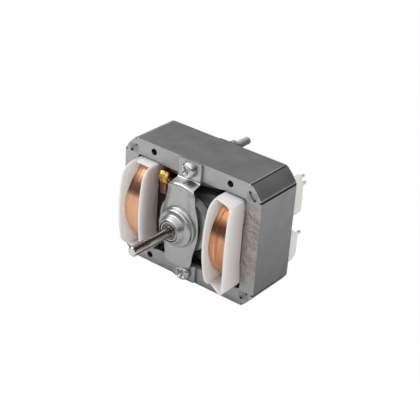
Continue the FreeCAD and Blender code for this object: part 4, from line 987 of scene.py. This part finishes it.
SHEET = 1.2
TAB_FRONT = -SHEET
PANEL_FRONT = -8.0
BRACKET_END = 33.0
FOOT_TOP = 22.9
FOOT_BOTTOM = 22.1
FOLD_RISE = 1.1
FOLD_START = 17.5
FOLD_ARCH = 1.9
TAB_CORNER = 1.0
BORE_CUT = 9.4
FOLD_RUN = 3.5
CREASE_START = 7.0
CREASE_RUN = 12.0
CREASE_LOW = 7.4
CREASE_HIGH = 4.2
FLANK_SLOPE = 0.33
CREASE_SOFTNESS = 0.05
# Half width of the bracket at heights from the middle upwards
WIDTHS = ((0.0, 11.2), (3.0, 11.1), (6.0, 10.8), (8.5, 10.3), (11.0, 9.6), (14.0, 8.9),
          (17.0, 8.5), (19.6, 8.25), (21.2, 8.0), (22.7, 6.9), (33.0, 6.9))


def half_width(z):
    """The bracket's half width at a height, smoothed between the measured ones."""
    level = abs(z)
    for (low, wide), (high, narrow) in zip(WIDTHS, WIDTHS[1:]):
        if level <= high:
            share = (level - low) / (high - low)
            if high < 20.0:
                share = share * share * (3 - 2 * share) * 0.4 + share * 0.6
            return wide + (narrow - wide) * share
    return WIDTHS[-1][1]


def raised(y):
    """How far a place lies forward, from 0 at the tabs to 1 at the panel."""
    return clamp((TAB_FRONT - y) / (TAB_FRONT - PANEL_FRONT))


def near_fold(z):
    """How near a height is to the fold at the panel's end, from 0 to 1."""
    return clamp((abs(z) - FOLD_START) / FOLD_RUN)


def flank_drop(x, y, z):
    """How far the panel lies back beside its creases, which close in towards the folds."""
    share = clamp((abs(z) - CREASE_START) / CREASE_RUN)
    beyond = abs(x) - (CREASE_LOW + (CREASE_HIGH - CREASE_LOW) * share)
    soft = 0.5 * (beyond + math.sqrt(beyond * beyond + CREASE_SOFTNESS))
    return soft * FLANK_SLOPE * (1.0 - 0.5 * near_fold(z)) * raised(y)


def fold_shift(x, y, z):
    """How far the fold at the panel's end arches away from the middle."""
    arch = 1.0 - (x / half_width(z)) ** 2 * FOLD_ARCH
    return FOLD_RISE * arch * near_fold(z) * raised(y) * (1 if z > 0 else -1)


BOSS = (
    (-5.6, 10.6), (-9.1, 10.6, 0.5), (-9.3, 10.0, 0.15), (-11.0, 9.9, 0.7),
    (-11.9, 7.5, 0.4), (-15.0, 6.0, 0.6), (-15.0, 5.55, 0.1), (-14.0, 5.5, 0.1),
    (-12.0, 6.5), (-9.8, 8.6), (-5.6, 9.5),
)
MOUTH_RING = ((-14.85, 4.3, 0.12), (-14.85, 5.1, 0.25), (-13.2, 5.15), (-13.2, 4.3))


def make_bracket(name, rear):
    """A stamped bracket: stepped and creased sheet with a domed boss."""
    bm = bmesh.new()
    sheet = bmesh.new()
    profile = [(TAB_FRONT, BRACKET_END), (TAB_FRONT, FOOT_TOP, 0.8),
               (PANEL_FRONT, FOOT_BOTTOM, 1.7), (PANEL_FRONT, 0.0)]
    lower = [(point[0], -point[1], *point[2:]) for point in reversed(profile[:-1])]
    run = outline(sheet, in_plane_x(-1.0, profile + lower), segments=6, closed=False)
    long_edges = [edge for edge in run if edge.calc_length() > 8.0]
    bmesh.ops.subdivide_edges(sheet, edges=long_edges, cuts=22)
    sweep(sheet, loose_edges(sheet), (2.0, 0, 0), 36)
    for vert in sheet.verts:
        wide = half_width(vert.co.z)
        rounding = abs(vert.co.z) - BRACKET_END + TAB_CORNER
        if rounding > 0:
            wide -= TAB_CORNER - math.sqrt(max(0.0, TAB_CORNER ** 2 - rounding ** 2))
        vert.co.x *= wide
    for vert in sheet.verts:
        lift = fold_shift(*vert.co)
        vert.co.y += flank_drop(*vert.co)
        vert.co.z += lift
    bore = [face for face in sheet.faces
            if math.hypot(face.calc_center_median().x, face.calc_center_median().z) < BORE_CUT
            and face.calc_center_median().y < TAB_FRONT - 3]
    bmesh.ops.delete(sheet, geom=bore, context="FACES")
    bmesh.ops.recalc_face_normals(sheet, faces=sheet.faces)
    sheet.normal_update()
    flattest = max(sheet.faces, key=lambda face: abs(face.normal.y))
    thick = SHEET if flattest.normal.y < 0 else -SHEET
    bmesh.ops.solidify(sheet, geom=sheet.faces, thickness=thick)
    bevel_sharp(sheet, 0.18, 2, 60.0)
    add_shell(bm, sheet)
    boss = bmesh.new()
    lathe(boss, BOSS, steps=96, segments=5, closed=True)
    add_shell(bm, boss)
    ring = bmesh.new()
    lathe(ring, MOUTH_RING, steps=64, segments=4, closed=True)
    add_shell(bm, ring)
    if rear:
        flip_to_rear(bm)
    word = "rear" if rear else "front"
    finish_mesh(bm, name, "zinc_sheet", "stator", [f"{word}_bracket"], 40.0)


# Bushes

BUSH_MIDDLE = -9.83
BUSH_BORE = 2.53
BUSH_PROFILE = (
    (-4.6, 4.1, 0.2), (-3.2, 4.96), (-1.7, 5.65), (0.0, 5.9), (1.7, 5.65), (3.2, 4.96),
    (4.3, 4.04, 0.25), (4.3, 3.2), (3.7, BUSH_BORE), (-4.0, BUSH_BORE), (-4.4, 3.0), (-4.6, 3.1),
)


def make_bush(word, rear):
    """A spherical bush with flat ends and a chamfered bore."""
    bm = bmesh.new()
    lathe(bm, [(BUSH_MIDDLE + point[0], *point[1:]) for point in BUSH_PROFILE], closed=True)
    if rear:
        flip_to_rear(bm)
    finish_mesh(bm, f"bush_{word}", "sintered", "stator", [f"bearing_{word}"], 30.0)


# Screws and nuts

SCREW_HEIGHT = 28.6
SCREW_RADIUS = 2.0
SHANK_RADIUS = 1.9
THREAD_CORE = 1.62
THREAD_ROOT = 1.55
THREAD_PITCH = 0.7
STUD_END = STACK_DEPTH + 17.0
WASHER_WALL = 0.9
NUT_FLATS = 7.0
NUT_HEIGHT = 3.2
NUT_BORE = 2.03
HEAD_SEAT = -SHEET
HEAD_FRONT = HEAD_SEAT - 2.8
HEAD_RADIUS = 4.2
HEAD_FLAT = 3.05
ARM_REACH = 2.7
ARM_HALF = 0.75
RECESS_DEPTH = 1.4
RECESS_TAPER = 0.4
RECESS_TURN = 0.9


def add_head(bm):
    """A pan head with a cross recess."""
    head = bmesh.new()
    lathe(head, [(HEAD_SEAT, 1.0), (HEAD_SEAT, HEAD_RADIUS, 0.15),
                 (HEAD_SEAT - 1.5, HEAD_RADIUS, 0.8), (HEAD_FRONT + 0.25, 3.5, 0.9),
                 (HEAD_FRONT, HEAD_FLAT)], steps=48, segments=5)
    rim = [edge for edge in head.edges if edge.is_boundary
           and abs(edge.verts[0].co.y - HEAD_FRONT) < 1e-3]
    points = []
    corners = [(-ARM_REACH, -ARM_HALF, 0.25), (-ARM_HALF, -ARM_HALF, 0.2),
               (-ARM_HALF, -ARM_REACH, 0.25)]
    for _ in range(4):
        points += corners
        corners = [(-z, x, rounding) for x, z, rounding in corners]
    cross = outline(head, in_plane_y(HEAD_FRONT, points), segments=3)
    bmesh.ops.triangle_fill(head, use_beauty=True, edges=rim + cross)
    floor = bmesh.ops.edgeloop_fill(head, edges=cross)["faces"]
    sunk = bmesh.ops.extrude_face_region(head, geom=floor)
    bmesh.ops.delete(head, geom=floor, context="FACES_ONLY")
    deep = only(bmesh.types.BMVert, sunk["geom"])
    bmesh.ops.translate(head, vec=(0, RECESS_DEPTH, 0), verts=deep)
    bmesh.ops.scale(head, vec=(RECESS_TAPER, 1, RECESS_TAPER), verts=deep)
    add_shell(bm, head)


def add_shank(bm):
    """A screw's shank, with its thread behind the stack."""
    shank = bmesh.new()
    lathe(shank, [(HEAD_SEAT - 0.5, 0.0), (HEAD_SEAT - 0.5, SHANK_RADIUS),
                  (STACK_DEPTH + 0.5, SHANK_RADIUS), (STACK_DEPTH + 0.8, THREAD_CORE),
                  (STUD_END - 0.5, THREAD_CORE, 0.2), (STUD_END, 1.2, 0.2), (STUD_END, 0.0)],
          steps=32)
    add_shell(bm, shank)

    thread = bmesh.new()
    start = STACK_DEPTH + 0.8
    turns = (STUD_END - 0.75 - start) / THREAD_PITCH
    ridge = outline(thread, [(THREAD_ROOT, start, 0), (SCREW_RADIUS, start + 0.28, 0),
                             (SCREW_RADIUS, start + 0.36, 0), (THREAD_ROOT, start + 0.64, 0)])
    bmesh.ops.spin(thread, geom=geometry_of(ridge), cent=(0, 0, 0), axis=(0, 1, 0),
                   dvec=(0, THREAD_PITCH / 24, 0), angle=FULL_TURN * turns,
                   steps=round(24 * turns), use_merge=False, use_duplicate=False)
    bmesh.ops.holes_fill(thread, edges=thread.edges, sides=4)
    add_shell(bm, thread)


def make_screws():
    heads = bmesh.new()
    shanks = bmesh.new()
    for level in (-1, 1):
        for bm, add_part in ((heads, add_head), (shanks, add_shank)):
            screw = bmesh.new()
            add_part(screw)
            rotate(screw, RECESS_TURN * level, "Y")
            bmesh.ops.translate(screw, vec=(0, 0, SCREW_HEIGHT * level), verts=screw.verts)
            add_shell(bm, screw)
    finish_mesh(heads, "pan_heads", "fastener", "stator", ["through_screws"], 35.0)
    finish_mesh(shanks, "screw_shanks", "dull_fastener", "stator", [], 35.0)


def make_nuts():
    """Hexagon nuts with chamfered corners and a plain round bore."""
    bm = bmesh.new()
    low = STACK_DEPTH + SHEET + WASHER_WALL
    for level in (-1, 1):
        nut = bmesh.new()
        bmesh.ops.create_circle(nut, cap_ends=False, segments=6, radius=NUT_FLATS / math.sqrt(3.0))
        outer = loose_edges(nut)
        bmesh.ops.create_circle(nut, cap_ends=False, segments=24, radius=NUT_BORE)
        inner = [edge for edge in loose_edges(nut) if edge not in outer]
        block(nut, outer, (0, 0, NUT_HEIGHT), inner)
        corners = [vert for vert in nut.verts if math.hypot(vert.co.x, vert.co.y) > 3.9]
        bmesh.ops.bevel(nut, geom=corners, offset=0.55, offset_type="OFFSET", segments=2,
                        profile=0.5, affect="VERTICES", material=-1, clamp_overlap=True)
        rotate(nut, -HALF_TURN / 2, "X")
        bmesh.ops.translate(nut, vec=(0, low, SCREW_HEIGHT * level), verts=nut.verts)
        add_shell(bm, nut)
    finish_mesh(bm, "hexagon_nuts", "dull_fastener", "stator", ["hex_nuts"], 35.0)


# Shading rings: copper bars bent round a pole tip. The left one's brazed joint is in front, the
# right one's at the rear.

RING_X = 13.6
RING_WIDTH = 3.6
RING_BAR = 2.0
RING_REACH = 2.1
RING_TOP = 21.5
JOINT_SIZE = (3.3, 2.2, 3.5)


def place_ring(bm, left):
    """Take a ring drawn at the upper right to the upper left, or down to the lower right."""
    bmesh.ops.scale(bm, vec=(-1, 1, 1) if left else (1, 1, -1), verts=bm.verts)
    bmesh.ops.reverse_faces(bm, faces=bm.faces)


def make_shading_ring(left):
    """A closed copper bar and its joint, drawn at the upper right and mirrored into place."""
    bm = bmesh.new()
    node = "shading_ring_left" if left else "shading_ring_right"
    ring_low, ring_high = node_limits(node)
    front, rear = -RING_REACH, STACK_DEPTH + RING_REACH
    bottom = min(abs(ring_low.z), abs(ring_high.z))
    bar = bmesh.new()
    outside = outline(bar, in_plane_x(RING_X, [
        (front, bottom, 1.6), (rear, bottom, 1.6), (rear, RING_TOP, 1.6), (front, RING_TOP, 1.6)]))
    inside = outline(bar, in_plane_x(RING_X, [
        (front + RING_BAR, bottom + RING_BAR), (rear - RING_BAR, bottom + RING_BAR),
        (rear - RING_BAR, RING_TOP - RING_BAR), (front + RING_BAR, RING_TOP - RING_BAR)]))
    block(bar, outside, (RING_WIDTH, 0, 0), inside)
    bevel_sharp(bar, 0.4, 3, 50.0)
    add_shell(bm, bar)
    place_ring(bm, left)
    finish_mesh(bm, node + "_bar", "copper_bar", "stator", [node], 40.0)

    joint = bmesh.new()
    start = front + 0.5 if left else rear - 0.5
    outward = -1.0 if left else 1.0
    bmesh.ops.create_icosphere(joint, subdivisions=5, radius=1.0)
    bmesh.ops.scale(joint, vec=JOINT_SIZE, verts=joint.verts)
    for vert in joint.verts:
        rough = noise.noise(vert.co * 0.55 + Vector((4.0, 2.0, 7.0)))
        vert.co *= 1.0 + 0.22 * rough
        hollow = (vert.co - Vector((0.9, 2.0 * outward, -0.9))).length
        vert.co.y -= outward * 0.9 * math.exp(-hollow * hollow / 1.1)
    bmesh.ops.translate(joint, vec=(RING_X + 0.6, start + outward * 0.9, RING_TOP - 1.9),
                        verts=joint.verts)
    place_ring(joint, left)
    finish_mesh(joint, node + "_joint", "braze", "stator", [], 60.0)


# Shaft

SHAFT_RADIUS = 2.5
RELIEF_RADIUS = 2.3


def make_shaft():
    """The through shaft with chamfered ends and its relief in front of the bush."""
    bm = bmesh.new()
    front, rear = (corner.y for corner in node_limits("shaft"))
    lathe(bm, [(front, 0.0), (front, 2.0, 0.1), (front + 0.5, SHAFT_RADIUS, 0.1),
               (-15.05, SHAFT_RADIUS), (-15.0, RELIEF_RADIUS), (-14.3, RELIEF_RADIUS),
               (-14.25, SHAFT_RADIUS), (rear - 0.5, SHAFT_RADIUS, 0.1), (rear, 2.0, 0.1),
               (rear, 0.0)], steps=72, segments=3)
    finish_mesh(bm, "shaft_rod", "shaft", "rotor", ["shaft"], 25.0)


# Terminals

def make_terminal_block():
    """The cream block behind the right bobbin: stepped, with a sloped top."""
    bm = bmesh.new()
    low, high = node_limits("terminal_block")
    edges = outline(bm, in_plane_y(low.y, [
        (low.x, low.z, 0.5), (high.x, low.z, 0.5), (high.x, high.z - 4.6, 0.6),
        (low.x + 2.4, high.z, 0.6), (low.x, high.z, 0.4)]), segments=3)
    block(bm, edges, (0, high.y - low.y, 0))
    bevel_sharp(bm, 0.35, 3, 50.0)
    finish_mesh(bm, "terminal_carrier", "cream", "stator", ["terminal_block"])


def dress_kept_nodes():
    """Give every CAD node that stays its material."""
    for material, names in KEPT_NODES.items():
        for name in names:
            mesh = nodes[name].data
            mesh.materials.clear()
            mesh.materials.append(MATERIALS[material])


dress_kept_nodes()
make_bobbins()
make_slot_covers()
make_winding("winding_left_strands", True, 0.55, 0.05, 0.6, 0.15, 2.0)
make_winding("winding_right_strands", False, 0.75, 0.12, 1.6, 0.3, 9.0)
make_bracket("front_bracket_sheet", False)
make_bracket("rear_bracket_sheet", True)
make_bush("front", False)
make_bush("rear", True)
make_screws()
make_nuts()
make_shading_ring(True)
make_shading_ring(False)
make_shaft()
make_terminal_block()


# Camera, light and floor

def make_camera():
    """The photograph's view."""
    back = Vector((math.sin(CAMERA_AZIMUTH) * math.cos(CAMERA_ELEVATION),
                   -math.cos(CAMERA_AZIMUTH) * math.cos(CAMERA_ELEVATION),
                   math.sin(CAMERA_ELEVATION)))
    level = Vector((math.cos(CAMERA_AZIMUTH), math.sin(CAMERA_AZIMUTH), 0))
    upright = back.cross(level)
    right = level * math.cos(CAMERA_ROLL) + upright * math.sin(CAMERA_ROLL)
    up = upright * math.cos(CAMERA_ROLL) - level * math.sin(CAMERA_ROLL)
    place = back * CAMERA_DISTANCE + right * CAMERA_ACROSS + up * CAMERA_UP
    data = bpy.data.cameras.new("photo_camera")
    data.lens = CAMERA_LENS
    data.sensor_width = SENSOR
    data.clip_start = 0.01
    data.clip_end = 20.0
    camera = add_object("photo_camera", data)
    heading = Matrix((right, up, back)).transposed().to_4x4()
    camera.matrix_world = Matrix.Translation(place * MM) @ heading
    bpy.context.scene.camera = camera


def make_area_light(name, direction, distance, side, power):
    """A soft square panel that looks at the motor."""
    data = bpy.data.lights.new(name, "AREA")
    data.shape = "SQUARE"
    data.size = side
    data.energy = power
    light = add_object(name, data)
    toward = Vector(direction).normalized()
    light.matrix_world = (Matrix.Translation(toward * distance + Vector((0, MID_Y * MM, 0)))
                          @ toward.to_track_quat("Z", "Y").to_matrix().to_4x4())


# What a mirror sees at each height, from straight down to straight up
SKY_STOPS = ((0.0, 0.45), (0.50, 0.14), (0.56, 0.06), (0.64, 0.08), (0.70, 0.30), (0.76, 0.85),
             (0.86, 1.0), (0.93, 0.9), (1.0, 0.6))
SKY_STRENGTH = 1.9
SKY_BACK = 0.35
BRIGHT_BEARING = (-0.59, -0.81, 0.0)
SOFT_LIGHT = 0.72
WHITE = (1.0, 1.0, 1.0, 1.0)
FLOOR_GLOW = 0.99


def make_world():
    """A white studio; mirrors see it dark at eye level and brightest half way up."""
    world = bpy.data.worlds.new("studio")
    bpy.context.scene.world = world
    world.use_nodes = True
    tree = world.node_tree
    place = add_node(tree, "ShaderNodeTexCoord")
    parts = add_node(tree, "ShaderNodeSeparateXYZ")
    height = add_node(tree, "ShaderNodeMath", operation="MULTIPLY_ADD")
    height.inputs[1].default_value = 0.5
    height.inputs[2].default_value = 0.5
    ramp = add_node(tree, "ShaderNodeValToRGB")
    stops = ramp.color_ramp.elements
    while len(stops) < len(SKY_STOPS):
        stops.new(0.5)
    for stop, (position, value) in zip(stops, SKY_STOPS):
        stop.position = position
        stop.color = (value, value, value, 1.0)
    bearing = add_node(tree, "ShaderNodeVectorMath", operation="DOT_PRODUCT")
    bearing.inputs[1].default_value = BRIGHT_BEARING
    share = add_node(tree, "ShaderNodeMapRange", From_Min=-0.35, From_Max=0.45, To_Min=SKY_BACK,
                     To_Max=SKY_STRENGTH)
    mirrored = tree.nodes["Background"]
    soft = add_node(tree, "ShaderNodeBackground", Color=WHITE, Strength=SOFT_LIGHT)
    white = add_node(tree, "ShaderNodeBackground", Color=WHITE, Strength=1.0)
    ray = add_node(tree, "ShaderNodeLightPath")
    glossy = add_node(tree, "ShaderNodeMixShader")
    seen = add_node(tree, "ShaderNodeMixShader")
    connect(tree, (place, "Generated", parts, "Vector"), (parts, "Z", height, 0),
            (height, "Value", ramp, "Fac"), (place, "Generated", bearing, 0),
            (bearing, "Value", share, "Value"), (share, "Result", mirrored, "Strength"),
            (ramp, "Color", mirrored, "Color"), (ray, "Is Glossy Ray", glossy, "Fac"),
            (soft, "Background", glossy, 1), (mirrored, "Background", glossy, 2),
            (ray, "Is Camera Ray", seen, "Fac"), (glossy, "Shader", seen, 1),
            (white, "Background", seen, 2),
            (seen, "Shader", tree.nodes["World Output"], "Surface"))


def make_floor():
    """A plain white floor under the stack."""
    bm = bmesh.new()
    bmesh.ops.create_grid(bm, x_segments=1, y_segments=1, size=3.0)
    bmesh.ops.translate(bm, vec=(0, 0, cad_low.z), verts=bm.verts)
    paint = bpy.data.materials.new("white_floor")
    paint.use_nodes = True
    tree = paint.node_tree
    shader = tree.nodes["Principled BSDF"]
    shader.inputs["Base Color"].default_value = (0.85, 0.85, 0.85, 1.0)
    shader.inputs["Roughness"].default_value = 0.9
    shader.inputs["Specular IOR Level"].default_value = 0.0
    glow = add_node(tree, "ShaderNodeEmission", Color=WHITE)
    ray = add_node(tree, "ShaderNodeLightPath")
    share = add_node(tree, "ShaderNodeMath", operation="MULTIPLY")
    share.inputs[1].default_value = FLOOR_GLOW
    mix = add_node(tree, "ShaderNodeMixShader")
    connect(tree, (ray, "Is Camera Ray", share, 0), (share, "Value", mix, "Fac"),
            (shader, "BSDF", mix, 1), (glow, "Emission", mix, 2),
            (mix, "Shader", tree.nodes["Material Output"], "Surface"))
    object_from(bm, "floor", paint)


make_camera()
make_world()
make_floor()
make_area_light("key_softbox", (-0.55, -0.50, 0.67), 0.9, 0.55, 1.6)
make_area_light("top_softbox", (0.1, 0.2, 1.0), 0.9, 0.6, 0.8)
bpy.context.scene.view_settings.view_transform = "Standard"
